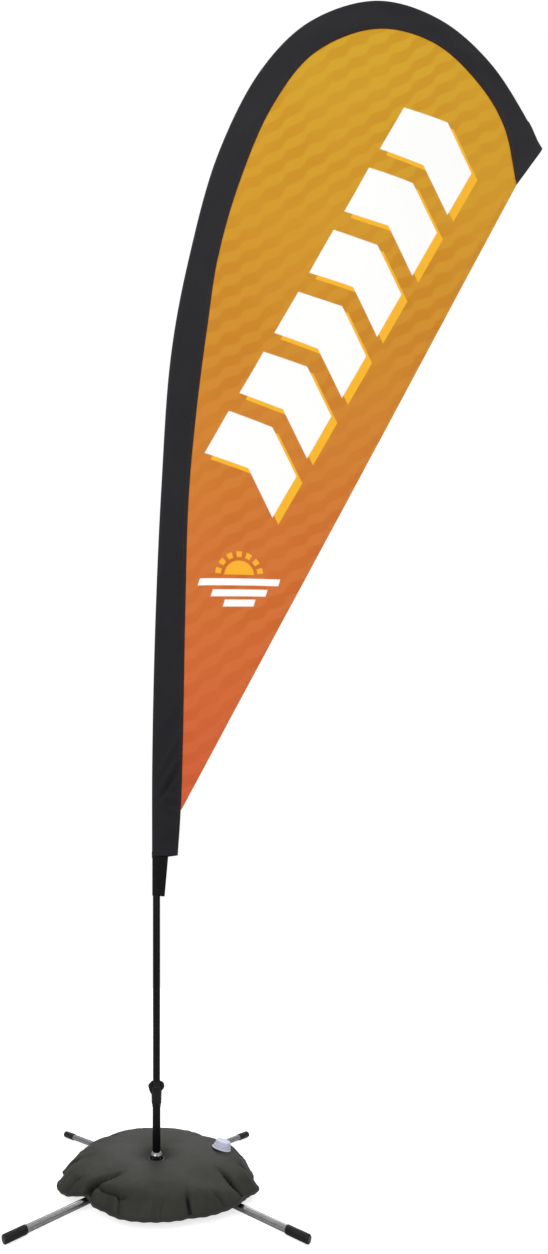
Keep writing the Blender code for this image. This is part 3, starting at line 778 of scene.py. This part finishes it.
def shape_bag(point):
    """Where a point of the plain ring goes on the filled bag, and how much painted shade its crease gives
    it, 0 to 1.
    """
    shade = 0.0
    radius = hypot(point.x, point.y)
    angle = atan2(point.y, point.x)
    degrees_round = angle * 180.0 / pi
    reach = radius / BAG_OUTLINE
    stretch = 1.0 + (outline(degrees_round) / BAG_OUTLINE - 1.0) * smooth((reach - 0.45) / 0.55)
    new = radius * stretch
    x, y = new * cos(angle), new * sin(angle)
    under = hang(x, y, radius)
    if point.z <= 0.0205 and reach < 0.999:
        rise = smooth((reach - 0.80) / 0.2)
        z = point.z - under * (1.0 - 0.35 * rise)
    else:
        edge = smooth((reach - 0.86) / 0.14)
        top = smooth((point.z - 0.022) / 0.012)
        swell = 0.0014 * sin(3.0 * angle + 40.0 * radius) + 0.0011 * cos(5.0 * angle - 28.0 * radius)
        swell -= 0.0022 * bell(off_leg(x, y), 0.055) * smooth((reach - 0.4) / 0.5)
        z = point.z - under * edge * RIM_SAG + swell * smooth((reach - 0.2) / 0.3) * (1.0 - edge)
        depth, pull = creases(radius, degrees_round, reach)
        # Painted shade: the deeper the crease or front fold, the darker the cloth's colour is made here.
        shade = smooth(depth * (0.5 + 0.5 * top) / CREASE_FULL_SHADE)
        z -= depth * (0.40 + 0.60 * top)
        x, y = x - y / new * pull * top, y + x / new * pull * top
        z += puckers(radius, angle, reach) * top
        z = max(z, 0.0222 - under * 0.8)
    return Vector((x, y, z)), shade


bag = turn(BAG_TOP_PROFILE + BAG_UNDER_PROFILE[1:], BAG_SIDES)
bpy.ops.object.mode_set(mode="OBJECT")
# Each point's painted crease shade goes into an attribute that the tarpaulin finish reads.
shades = bag.data.attributes.new("crease", "FLOAT", "POINT")
for vertex in bag.data.vertices:
    vertex.co, shades.data[vertex.index].value = shape_bag(vertex.co)
settle(bag, "water_bag_skin", "bag", BAG_CLOTH, ["water_bag"], angle=60.0)

# %% [markdown]
# ## The bag's rim
# Where the two discs are welded, a narrow flat band stands out all round. It is a thin ring whose points
# follow the bag's outline, and its outer edge ripples, because welding shrinks it a little.

# %% Bag rim
def rim_spot(point):
    """Move a point of a flat ring to the bag's rim, where the two discs are welded."""
    angle = atan2(point.y, point.x)
    radius = hypot(point.x, point.y) * outline(angle * 180.0 / pi) / BAG_OUTLINE
    x, y = radius * cos(angle), radius * sin(angle)
    under = hang(x, y, BAG_OUTLINE)
    droop = 0.30 * (hypot(point.x, point.y) - BAG_OUTLINE)
    ripple = 0.0006 * sin(61.0 * angle) * smooth(droop / 0.0015)
    return Vector((x, y, point.z - under * RIM_SAG - droop + ripple))


rim = turn([(234.0, 23.0), (240.6, 22.7), (241.4, 22.2), (240.6, 21.5), (234.0, 21.2)], BAG_SIDES)
bpy.ops.object.mode_set(mode="OBJECT")
for vertex in rim.data.vertices:
    vertex.co = rim_spot(vertex.co)
settle(rim, "bag_rim", "bag", BAG_CLOTH, ["rim_weld"])

# %% [markdown]
# ## Eyelet and filling valve
# The hole in the bag's middle is lined with a moulded eyelet, so that the hub can pass. Water goes in
# through a wide valve near the rim: a flange welded to the skin, a threaded neck, and a screw cap with
# ribs for the fingers: every second face of the cap's side, pushed out a little.

# %% Eyelet and valve
VALVE_PLACE = (Matrix.Translation((0.165375, 0.023242, 0.0524))
               @ Matrix.Rotation(radians(8.0), 4, "Z") @ Matrix.Rotation(radians(13.0), 4, "Y"))

eyelet = turn([
    (16.8, 36), (17, 37), (17.8, 37.6), (20.4, 37.4), (21.2, 36.9), (20.9, 36.4), (18.3, 35.8),
    (18.2, 34), (18.2, 21), (18, 19.6), (17.3, 19.3), (16.8, 19.9), (16.8, 36),
], 64)
settle(eyelet, "bag_eyelet", "bag", PLASTIC, ["centre_grommet"])
flange = turn([
    (10.5, 15), (13.6, 15), (14, 14.6), (13.4, 13.6), (14, 12.7), (13.4, 11.7), (14, 10.8),
    (13.6, 9.6), (14.2, 8.7), (20, 8.5), (21, 8.1), (21.5, 7.2), (21.5, 3.4), (22.6, 2), (24.8, 1.2),
    (24.8, 0.5), (10.5, 0.5), (10.5, 15),
], 64)
settle(flange, "valve_base", "bag", VALVE_GREY, ["valve_flange"], place=VALVE_PLACE)

cap = turn([
    (0, 20.4), (11.2, 20.4), (12, 21), (15.4, 21), (16.9, 20.5), (17.8, 19.5), (18.2, 18.2),
    (18.2, 10.4), (18.5, 9.9), (18.5, 9.2), (15.4, 9.2), (15, 9.8), (15, 17.7), (0, 17.7),
], 64)
pick(cap, lambda p: hypot(p.x, p.y) > 0.0178 and abs(p.z - 0.0143) < 0.0030
     and int(atan2(p.y, p.x) * 32.0 / pi + 64.0) % 2 == 0, "FACE")
bpy.ops.mesh.extrude_faces_move(TRANSFORM_OT_shrink_fatten={"value": 0.0006})
settle(cap, "valve_screw_cap", "cap", VALVE_WHITE, ["valve_cap"], place=VALVE_PLACE)

# %% Own mesh copies for the soft pieces
for soft in (bag, rim, eyelet):
    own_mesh(soft)

# %% [markdown]
# ## Cross bars and their end caps
# Each bar is one steel tube, pressed flat in the middle so that the two can cross and fold on one bolt.
# It starts as an open cylinder, which the bisect operator cuts into rings near the middle. Each ring is
# then resized and moved towards the flat, and both ends come down to the floor.

# %% Cross bars
LEG_RADIUS = 0.008
LEG_HEIGHT = 0.010  # of a leg's centre line near the hub
LEG_REACH = 0.393  # to the end of the tube, inside its cap
LEG_WALL = 0.0012
FLAT_END = 0.024  # the tube is flat up to here,
ROUND_FROM = 0.058  # and round from here on
FLAT_WIDE = 1.35  # a flattened ring's width and height, against a round one's
FLAT_HIGH = 0.3125
LEG_SLOPE = RISE / (0.400 - ROUND_FROM)  # down to the floor at the end of the cap


def leg_drop(distance):
    """How far a leg has come down at a distance from the pivot."""
    return LEG_SLOPE * max(0.0, abs(distance) - ROUND_FROM)


def cross_bar(name, node, body, angle, flat_height, finish):
    """Both legs of one bar, along X; flat_height is its flat part's height."""
    bar = fresh(bpy.ops.mesh.primitive_cylinder_add, vertices=44, radius=LEG_RADIUS, depth=2 * LEG_REACH,
                end_fill_type="NOTHING", location=(0, 0, LEG_HEIGHT), rotation=(0, radians(90.0), 0))
    open_edit(bar)
    cuts = [FLAT_END + (ROUND_FROM - FLAT_END) * k / 10 for k in range(11)]
    cuts = [-cut for cut in reversed(cuts)] + cuts
    for cut in cuts:
        bpy.ops.mesh.select_all(action="SELECT")
        bpy.ops.mesh.bisect(plane_co=(cut, 0, 0), plane_no=(1, 0, 0))
    for cut in cuts:
        pick(bar, lambda p: abs(p.x - cut) < 0.0001)
        flat = 1.0 - smooth((abs(cut) - FLAT_END) / (ROUND_FROM - FLAT_END))
        size = (1.0, 1.0 + (FLAT_WIDE - 1.0) * flat, 1.0 + (FLAT_HIGH - 1.0) * flat)
        bpy.ops.transform.resize(value=size, center_override=(cut, 0, LEG_HEIGHT))
        bpy.ops.transform.translate(value=(0, 0, (flat_height - LEG_HEIGHT) * flat))
    pick(bar, lambda p: abs(p.x) > LEG_REACH - 0.001)
    bpy.ops.transform.translate(value=(0, 0, -leg_drop(LEG_REACH)))
    apply_modifier(bar, "SOLIDIFY", thickness=LEG_WALL, offset=-1.0)
    settle(bar, name, body, finish, [node], place=Matrix.Rotation(radians(angle), 4, "Z"))


cross_bar("lower_bar_tube", "lower_cross_bar", "base", 45.0, 0.0085, CHROME_LOW)
cross_bar("upper_bar_tube", "upper_cross_bar", "upper_bar", -45.0, 0.0149, CHROME_UP)

# %% [markdown]
# ## End caps
# Plastic cups are pushed over the tube's ends, so that the cut steel doesn't scratch the floor. Two
# grooves near the open end help a hand to pull one off. One profile serves all four.

# %% End caps
CAPS = [("back_right", 45.0, "base"), ("front_left", 225.0, "base"),
        ("front_right", -45.0, "upper_bar"), ("back_left", 135.0, "upper_bar")]
CAP_START = 0.354  # the cap's open end, from the pivot
for where, angle, body in CAPS:
    cap_place = (Matrix.Rotation(radians(angle), 4, "Z")
                 @ Matrix.Translation((CAP_START, 0, LEG_HEIGHT - leg_drop(CAP_START)))
                 @ Matrix.Rotation(radians(90.0) + atan2(LEG_SLOPE, 1.0), 4, "Y"))
    cup = turn([
        (0, 46), (7, 46), (8.2, 45.7), (9, 44.9), (9.35, 43.6), (9.45, 42), (9.45, 12),
        (9.1, 11.6), (9.1, 10.8), (9.45, 10.4), (9.45, 8.4), (9.1, 8), (9.1, 7.2), (9.45, 6.8),
        (9.45, 2.2), (9.35, 0.8), (9, 0.1), (8.6, 0), (8.4, 0.3), (8.4, 39.3), (0, 39.3),
    ], 40)
    settle(cup, "leg_cap_" + where, body, PLASTIC, ["end_cap_" + where], place=cap_place)

# %% [markdown]
# ## Hub and spindle
# The hub boss is bolted over the crossed bars. On its stub sits a ball bearing, and over that the
# spindle's cup, whose polished rim shows as a bright ring at the foot of the pole. All are lathe work.

# %% Hub and spindle
boss = turn([
    (0, 50.5), (3.4, 50.5), (4, 49.9), (4, 39.5), (6.2, 39.5), (6.2, 37.5), (10.7, 37.5), (11.5, 36.7),
    (11.5, 23.4), (12.2, 22.2), (14, 21.4), (15, 20.6), (15, 18.2), (14.6, 17.8), (4.4, 17.7),
    (4.4, 34), (0, 34),
], 64)
settle(boss, "hub", "base", CHROME_LOW, ["hub_boss"], angle=30.0)
grooves = []
for height in (150.0, 115.0, 80.0):
    grooves += [(7.5, height + 1.5), (6.3, height + 1.4), (6.3, height - 1.4), (7.5, height - 1.5)]
spindle = turn([
    (0, 165.0), (4.6, 165.0), (5.6, 164.4), (7.5, 161.0), *grooves, (7.5, 54.0), (8.0, 53.5), (10.2, 53.5),
    (10.9, 53.2), (12.6, 51.4), (14.3, 48.9), (15.2, 47.4), (15.5, 46.4), (15.5, 44.9), (15.2, 44.2),
    (14.6, 43.7), (14.5, 43), (14.5, 40.2), (14.2, 39.9), (13.2, 39.9), (13.2, 47.1), (6.6, 47.1),
    (6.6, 51.3), (0, 51.3),
], 64)
settle(spindle, "spindle", "rotor", POLISHED, ["spindle_rod"], angle=28.0)

# %% [markdown]
# ## Foot tube, collar and lower pole
# A black tube slips over the spindle, and the lowest section of the pole stands on it. Both are plain
# tubes with rolled edges. The section's top follows from the frame, where the next section starts.

# %% Tubes
foot = turn([
    (8.5, 191.5), (9, 192), (9.6, 192), (10, 191.6), (10, 57.4), (9.8, 55.4), (9.3, 54.2),
    (8.9, 53.8), (8.5, 54.2), (8.5, 191.5),
], 48)
settle(foot, "foot_tube_skin", "pole", POLE_BLACK, ["foot_tube"])
POLE_TOP = (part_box("lower_pole")[1].z - RISE) / MM
pole = turn([
    (7.0, POLE_TOP - 0.5), (7.5, POLE_TOP), (8.5, POLE_TOP), (9.0, POLE_TOP - 0.5), (9.0, 193.3),
    (8.5, 192.8), (7.5, 192.8), (7.0, 193.3), (7.0, POLE_TOP - 0.5),
], 48)
settle(pole, "lower_pole_skin", "pole", POLE_BLACK, ["lower_pole"])

# %% [markdown]
# ## Collar
# A moulded collar joins foot tube and pole. It is a turned body with two ears: the left one comes to a
# point and runs down the side, the right one is short and round. Each ear is a many-sided prism whose
# corners are moved, then bevelled and united with the body.

# %% Collar
EAR_DEPTH = 0.0115
EARS = [
    [(-10.2, 229), (-14.5, 225.6), (-20.4, 219), (-20.8, 216.6), (-18.6, 208), (-16, 201.5),
     (-13.6, 197), (-10.2, 199.5)],
    [(10.2, 229), (14.5, 227), (18.6, 222.8), (20.3, 217.5), (19, 212), (16.2, 208.6),
     (13.4, 204.8), (10.2, 205.5)],
]


def ear(corners):
    """A prism through (x, z) corners, in millimetres, with rounded edges."""
    count = len(corners)
    made = fresh(bpy.ops.mesh.primitive_cylinder_add, vertices=count, radius=0.01, depth=EAR_DEPTH,
                 end_fill_type="NGON", rotation=(radians(90.0), 0, 0))
    for vertex in made.data.vertices:
        turned = atan2(vertex.co.x, -vertex.co.z) % (2.0 * pi)
        x, z = corners[round(turned * count / (2.0 * pi)) % count]
        vertex.co.x, vertex.co.z = x * MM, z * MM
    open_edit(made)
    clean()
    apply_modifier(made, "BEVEL", width=0.0016, segments=3, limit_method="ANGLE", angle_limit=radians(20.0))
    return made


collar = turn([
    (9.4, 228), (9.9, 228.8), (10.8, 228.8), (11.4, 228), (11.5, 218.4), (12, 216.9), (13.2, 216.2),
    (13.9, 215.2), (13.9, 211.8), (13.4, 210.8), (13.2, 204), (12.9, 190), (12.5, 174.4), (12.1, 172.6),
    (11.1, 171.8), (10.9, 170.6), (10.9, 165.3), (10.6, 164.6), (10.3, 165), (10.3, 192.4), (9.4, 192.4),
    (9.4, 228),
], 56)
clean()
bpy.ops.object.mode_set(mode="OBJECT")
for corners in EARS:
    lug = ear(corners)
    apply_modifier(collar, "BOOLEAN", operation="UNION", solver="EXACT", object=lug)
    bpy.data.objects.remove(lug)
settle(collar, "collar", "pole", PLASTIC, ["pole_collar"])

# %% [markdown]
# ## The lines of the flag
# The flag is drawn by two smooth lines in its own plane: the pole side of the sleeve, and the seam
# between sleeve and panel. Each point of the seam is paired with the nearest point of the pole side.
# Such a pair is one cross-section, or station, of the sleeve: a tear shape that wraps the pole and
# narrows to the seam.

# %% Flag lines
OUTER_EDGE = [
    (-0.0109, 0.783), (-0.0105, 1.020), (-0.0030, 1.360), (0.0120, 1.700), (0.0360, 2.030),
    (0.0805, 2.270), (0.1520, 2.525), (0.2590, 2.733), (0.3790, 2.850), (0.5430, 2.901),
    (0.6950, 2.858), (0.8260, 2.748), (0.9570, 2.541),
]
SEAM = [
    (0.0530, 0.783), (0.0605, 0.908), (0.0660, 1.100), (0.0715, 1.400), (0.0800, 1.680),
    (0.1000, 1.900), (0.1260, 2.100), (0.1520, 2.270), (0.2060, 2.460), (0.2900, 2.653),
    (0.3950, 2.783), (0.5500, 2.841), (0.6900, 2.805), (0.8000, 2.704), (0.8620, 2.600),
    (0.8940, 2.4545),
]
PANEL_FOOT = Vector((0.0602, 0.900))
STATION_STEP = 0.020 / 3
SPREAD = 42  # the last stations, which share the tip's curve evenly
POCKET_STATIONS = 12  # how far the tip pocket reaches down the sleeve
SLEEVE_RADIUS = 0.01055  # to the middle of the cloth, at the foot
SLEEVE_TIP_RADIUS = 0.0060
SEAM_HALF = 0.0009  # half the sleeve's thickness at its seam
FOOT_TILT = 0.006  # how much higher the foot is at its free corner
POCKET_RUN = 0.075  # the last stretch of the sleeve, past the end of the pole
FLANK = 0.70  # the share of each half section that is flat
# Folds of the slack sleeve near its foot: distance up, lean, half width and height, in metres
FOLDS = [
    (0.262, 0.110, 0.0110, 0.0075), (0.232, 0.104, 0.0100, -0.0060), (0.318, 0.120, 0.0130, 0.0036),
    (0.205, 0.085, 0.0120, 0.0040), (0.146, 0.012, 0.0075, 0.0056), (0.130, -0.006, 0.0075, -0.0044),
    (0.110, -0.020, 0.0095, 0.0040), (0.060, -0.045, 0.0140, 0.0052), (0.028, -0.010, 0.0100, -0.0036),
    (0.400, 0.090, 0.0170, 0.0024), (0.520, -0.070, 0.0200, 0.0018),
]


def smooth_line(points, per_span=60):
    """A centripetal Catmull-Rom line through (x, z) points."""
    known = [Vector(point) for point in points]
    known = [known[0] * 2 - known[1]] + known + [known[-1] * 2 - known[-2]]
    line = []
    for span in range(1, len(known) - 2):
        p = known[span - 1:span + 3]
        t = [0.0]
        for a, b in zip(p, p[1:]):
            t.append(t[-1] + (b - a).length ** 0.5)
        for k in range(per_span):
            u = t[1] + (t[2] - t[1]) * k / per_span
            a = [p[i].lerp(p[i + 1], (u - t[i]) / (t[i + 1] - t[i])) for i in range(3)]
            b = [a[i].lerp(a[i + 1], (u - t[i]) / (t[i + 2] - t[i])) for i in range(2)]
            line.append(b[0].lerp(b[1], (u - t[1]) / (t[2] - t[1])))
    line.append(known[-2])
    return line


def spaced(line, step):
    """Points on a line at equal distances of about one step, ends included."""
    lengths = [0.0]
    for a, b in zip(line, line[1:]):
        lengths.append(lengths[-1] + (b - a).length)
    count = ceil(lengths[-1] / step)
    picked = []
    i = 0
    for k in range(count + 1):
        goal = lengths[-1] * k / count
        while i < len(line) - 2 and lengths[i + 1] < goal:
            i += 1
        part = (goal - lengths[i]) / (lengths[i + 1] - lengths[i])
        picked.append(line[i].lerp(line[i + 1], part))
    return picked


class Station:
    """A cross-section of the sleeve, from its pole side to its seam, at a distance from the foot."""

    def __init__(self, outer, seam, along, run):
        self.outer, self.seam, self.along = outer, seam, along
        self.across = (seam - outer).normalized()
        self.reach = (seam - outer).length
        taper = max(0.0, along / run - 0.1) / 0.9
        closing = smooth((along - run + POCKET_RUN) / 0.06)
        self.radius = (SLEEVE_RADIUS + (SLEEVE_TIP_RADIUS - SLEEVE_RADIUS) * taper) * (1.0 - 0.8 * closing)
        self.slack = 1.0 - closing

    def spot(self, share, swell=0.0, reach=None, wrinkled=True):
        """A point round the section: share is 0 and 1 at the seam, 0.5 at the pole side."""
        reach = reach or self.reach
        side = 1.0 if share < 0.5 else -1.0
        t = 1.0 - abs(2.0 * share - 1.0)
        radius = self.radius + swell
        start = acos(radius / (reach - self.radius))
        if t < FLANK:
            part = t / FLANK
            flat = reach + (self.radius + radius * cos(start) - reach) * part
            lift = (SEAM_HALF + swell) * (1.0 - part) + radius * sin(start) * part
            if wrinkled:
                lift = max(SEAM_HALF * 0.6 + swell, lift + self.wrinkle(part, side))
        else:
            angle = start + (pi - start) * (t - FLANK) / (1.0 - FLANK)
            flat = self.radius + radius * cos(angle)
            lift = radius * sin(angle)
        spot = self.outer + self.across * flat
        raised = FOOT_TILT * flat / reach * bell(self.along, 0.05)
        return Vector((spot.x, side * lift, spot.y + raised))

    def wrinkle(self, part, side):
        """How far the slack cloth between pole and seam stands out from flat."""
        s = self.along
        fold = sum(high * bell(s - at - lean * part * side, wide) for at, lean, wide, high in FOLDS)
        fold += 0.0009 * sin(s * 19.0 + 2.0 * part + 2.0 * side) + 0.0005 * sin(s * 47.0 - 3.0 * part)
        pucker = 0.00045 * sin(s * 330.0 + side) * bell(part - 0.10, 0.14)
        return (fold * sin(pi * part) + pucker * smooth(part / 0.05)) * self.slack


def sleeve_stations():
    """Pair each point of the seam with the nearest point of the pole side."""
    outer = smooth_line(OUTER_EDGE)
    seam = spaced(smooth_line(SEAM), STATION_STEP)
    nearest = [min(range(len(outer)), key=lambda i: (outer[i] - point).length) for point in seam]
    late = len(seam) - SPREAD
    for i in range(late, len(seam)):
        share = (i - late + 1) / (len(seam) - late)
        nearest[i] = round(nearest[late - 1] + (len(outer) - 1 - nearest[late - 1]) * share)
    run = STATION_STEP * (len(seam) - 1)
    return [Station(outer[near], point, STATION_STEP * i, run)
            for i, (near, point) in enumerate(zip(nearest, seam))]


stations = sleeve_stations()
print(len(stations), "stations along the sleeve")

# %% [markdown]
# ## Cloth
# Every sheet of the flag is a grid, laid out point by point: one direction of the grid follows the
# flag, the other one runs across it. The grid's UV map stays on it, so the material knows where the
# cloth's edges are. Then the doubles are merged and Solidify gives the cloth its thickness.

# %% Sleeve
CLOTH = 0.0006
AROUND = 44  # columns of the grid, round the sleeve
FOOT_HEM = 0.0145


def cloth_grid(columns, rows, spot, thickness):
    """A sheet of cloth whose points lie where spot(across, up) says, both from 0 to 1."""
    bpy.ops.mesh.primitive_grid_add(x_subdivisions=columns, y_subdivisions=rows, size=1.0, calc_uvs=True)
    obj = bpy.context.object
    for vertex in obj.data.vertices:
        across = round((vertex.co.x + 0.5) * columns) / columns
        up = round((vertex.co.y + 0.5) * rows) / rows
        vertex.co = spot(across, up)
    open_edit(obj)
    clean()
    apply_modifier(obj, "SOLIDIFY", thickness=thickness, offset=0.0)
    return obj


def sleeve_part(name, first, swell, stands_for):
    """The sleeve from one station to the tip, swell metres out from the pole's own layer."""
    rows = len(stations) - 1 - first
    made = cloth_grid(AROUND, rows, lambda u, v: stations[first + round(v * rows)].spot(u, swell), CLOTH)
    return settle(made, name, "pole", SLEEVE_BLACK, [stands_for], angle=60.0)


sleeve = sleeve_part("sleeve_skin", 0, 0.0, "pole_sleeve")
pocket = sleeve_part("tip_pocket_skin", len(stations) - 1 - POCKET_STATIONS, 0.0007, "tip_pocket")


def foot_hem_spot(share, up, swell=0.00055):
    """On the turned-over foot of the sleeve."""
    return stations[0].spot(share, swell) + Vector((0.0, 0.0, FOOT_HEM * up))


foot_hem = cloth_grid(AROUND, 2, foot_hem_spot, 0.0005)
settle(foot_hem, "sleeve_foot_hem", "pole", SLEEVE_BLACK, angle=60.0)

# %% [markdown]
# ## The printed panel
# The panel spans from the seam to a straight free edge. Its rows fan out from the foot to the tip, and
# it starts a little inside the sleeve, where it is sewn between the two layers. It is taut, so it
# billows by only a few millimetres, more towards the free edge. The free edge is turned over as a hem.

# %% Panel
TUCK = 0.008  # how much of the panel is sewn in
HEM = 0.011
FABRIC = 0.0005
PANEL_FIRST = next(i for i, station in enumerate(stations) if station.seam.y > PANEL_FOOT.y)
PANEL_ROWS = len(stations) - PANEL_FIRST
PANEL_TIP = stations[-1].seam
TAUT = 0.35  # the cloth is flat at the panel's ends and billows from this far on


def billow(x, z, share):
    """How far the taut cloth stands out of its plane, share running from seam to free edge."""
    wave = 0.0026 * sin(4.6 * x + 3.1 * z) + 0.0014 * sin(9.5 * x - 6.0 * z + 1.0)
    wave += 0.0007 * sin(23.0 * x + 17.0 * z)
    ends = smooth((z - PANEL_FOOT.y) / TAUT) * smooth((PANEL_TIP - Vector((x, z))).length / TAUT)
    return wave * smooth(share / 0.35) * ends


def panel_row(up):
    """The seam and the free edge of one row of the panel."""
    row = round(up * PANEL_ROWS)
    if row == 0:
        return PANEL_FOOT - Vector((TUCK * 0.9, 0.0)), PANEL_FOOT
    station = stations[PANEL_FIRST + row - 1]
    return station.seam - station.across * TUCK, PANEL_FOOT.lerp(PANEL_TIP, up)


def panel_spot(across, up):
    """On the panel, across from the seam and up from the foot."""
    start, end = panel_row(up)
    spot = start.lerp(end, across)
    return Vector((spot.x, billow(spot.x, spot.y, across), spot.y))


def hem_spot(across, up):
    """Round the free edge, from the front, over the edge, to the back."""
    edge = (PANEL_TIP - PANEL_FOOT).normalized()
    inward = Vector((-edge.y, edge.x))
    end = PANEL_FOOT.lerp(PANEL_TIP, min(0.997, max(0.003, up)))
    narrow = min(1.0, up / 0.012 + 0.02, (1.0 - up) / 0.012 + 0.02)
    depth = HEM * narrow * abs(2.0 * across - 1.0)
    spot = end + inward * (depth - 0.0004)
    side = -1.0 if across < 0.4 else 1.0 if across > 0.6 else 0.0
    return Vector((spot.x, billow(spot.x, spot.y, 1.0) + side * 0.00052, spot.y))


panel = cloth_grid(46, PANEL_ROWS, panel_spot, FABRIC)
settle(panel, "panel_skin", "pole", PRINT, ["flag_panel"], angle=60.0)
hem = cloth_grid(6, 130, hem_spot, 0.0004)
settle(hem, "panel_hem", "pole", PRINT, angle=60.0)

# %% [markdown]
# ## Stitches
# One stitch is a thin six-sided bar that lies on the cloth. The Array modifier repeats it, and the Curve
# modifier lays the row along a line, which is how a sewing machine places stitches too.

# %% Stitches
STITCH_PITCH = 0.0056
BLACK_THREAD = moulded("black_thread", (0.020, 0.020, 0.024), 0.60, 2500.0, 0.00005)
GOLD_THREAD = moulded("golden_thread", (0.62, 0.24, 0.030), 0.60, 2500.0, 0.00005)


def stitch_row(line):
    """Stitches along 3-D points."""
    path = bpy.data.curves.new("stitch_path", "CURVE")
    path.dimensions = "3D"
    spline = path.splines.new("POLY")
    spline.points.add(len(line) - 1)
    for point, spot in zip(spline.points, line):
        point.co = (*spot, 1.0)
    track = bpy.data.objects.new("stitch_path", path)
    bpy.context.collection.objects.link(track)
    length = sum((b - a).length for a, b in zip(line, line[1:]))
    row = fresh(bpy.ops.mesh.primitive_cylinder_add, vertices=6, radius=0.00032, depth=0.0042,
                end_fill_type="NGON", rotation=(0, radians(90.0), 0), location=(STITCH_PITCH / 2, 0, 0))
    apply_modifier(row, "ARRAY", count=int(length / STITCH_PITCH), use_relative_offset=False,
                   use_constant_offset=True, constant_offset_displace=(STITCH_PITCH, 0.0, 0.0))
    apply_modifier(row, "CURVE", object=track, deform_axis="POS_X")
    bpy.data.objects.remove(track)
    return row


def sew(name, lines, thread):
    """Rows of stitches as one piece."""
    rows = [stitch_row(line) for line in lines]
    bpy.ops.object.select_all(action="DESELECT")
    for row in rows:
        row.select_set(True)
    bpy.context.view_layer.objects.active = rows[0]
    bpy.ops.object.join()
    return settle(rows[0], name, "pole", thread)


def along_sleeve(inset, side):
    """A line on the sleeve at a distance from its seam, on its back (1) or front (-1)."""
    line = []
    for station in stations[:-1]:
        share = 0.5 * FLANK * inset / (station.reach - station.radius)
        line.append(station.spot(share if side > 0 else 1.0 - share, 0.00040))
    return line


seam_lines = [along_sleeve(inset, side) for inset in (0.0035, 0.0085) for side in (1, -1)]
seam_stitches = sew("seam_stitches", seam_lines, BLACK_THREAD)
hem_lines = [[hem_spot(place, 0.01 + 0.98 * k / 120.0) + Vector((0.0, lift, 0.0)) for k in range(121)]
             for place, lift in ((0.12, -0.00035), (0.88, 0.00035))]
hem_stitches = sew("hem_stitches", hem_lines, GOLD_THREAD)
foot_lines = [[foot_hem_spot(0.02 + 0.96 * k / 90.0, 0.82, 0.00100) for k in range(91)]]
foot_stitches = sew("foot_stitches", foot_lines, BLACK_THREAD)

# %% [markdown]
# ## The tension strap
# Below the sleeve a tapering strap of the same black cloth wraps the pole. It closes on itself with a
# hook-and-loop patch, and it holds the flag down, so that the pole stays bent and the panel taut.

# %% Tension strap
STRAP_TOP = 0.7905
STRAP_EDGE = ((0.687, 0.0310), (0.783, 0.0396))  # height, and the free edge's distance from the left
STRAP_LOW = 0.0024  # how much higher its foot is at the pole side


def strap_spot(share, up, swell=0.0, low=0.0, high=1.0):
    """Round the strap, and up between two shares of its height."""
    up = low + (high - low) * up
    height = STRAP_EDGE[0][0] + (STRAP_TOP - STRAP_EDGE[0][0]) * up
    lean = (STRAP_EDGE[1][1] - STRAP_EDGE[0][1]) / (STRAP_EDGE[1][0] - STRAP_EDGE[0][0])
    reach = STRAP_EDGE[0][1] + (height - STRAP_EDGE[0][0]) * lean
    spot = stations[0].spot(share, swell - 0.00075, reach, wrinkled=False)
    short = STRAP_LOW * (1.0 - smooth((spot.x - 0.004) / 0.014)) * (1.0 - up)
    wave = 0.0006 * sin(height * 90.0 + share * 9.0) * (1.0 - abs(2.0 * share - 1.0))
    return Vector((spot.x, spot.y + (wave if share > 0.5 else -wave), height + short))


strap = cloth_grid(40, 16, strap_spot, 0.0010)
settle(strap, "strap_skin", "pole", WEBBING, ["tension_strap"], angle=60.0)
patch = cloth_grid(10, 8, lambda u, v: strap_spot(0.69 + 0.24 * u, v, 0.0010, 0.16, 0.72), 0.0010)
settle(patch, "strap_closure", "pole", WEBBING, angle=60.0)

# %% [markdown]
# ## Sheets
# A sheet was cut flat before it was sewn.

# %% Sheets
print("4 sheets")
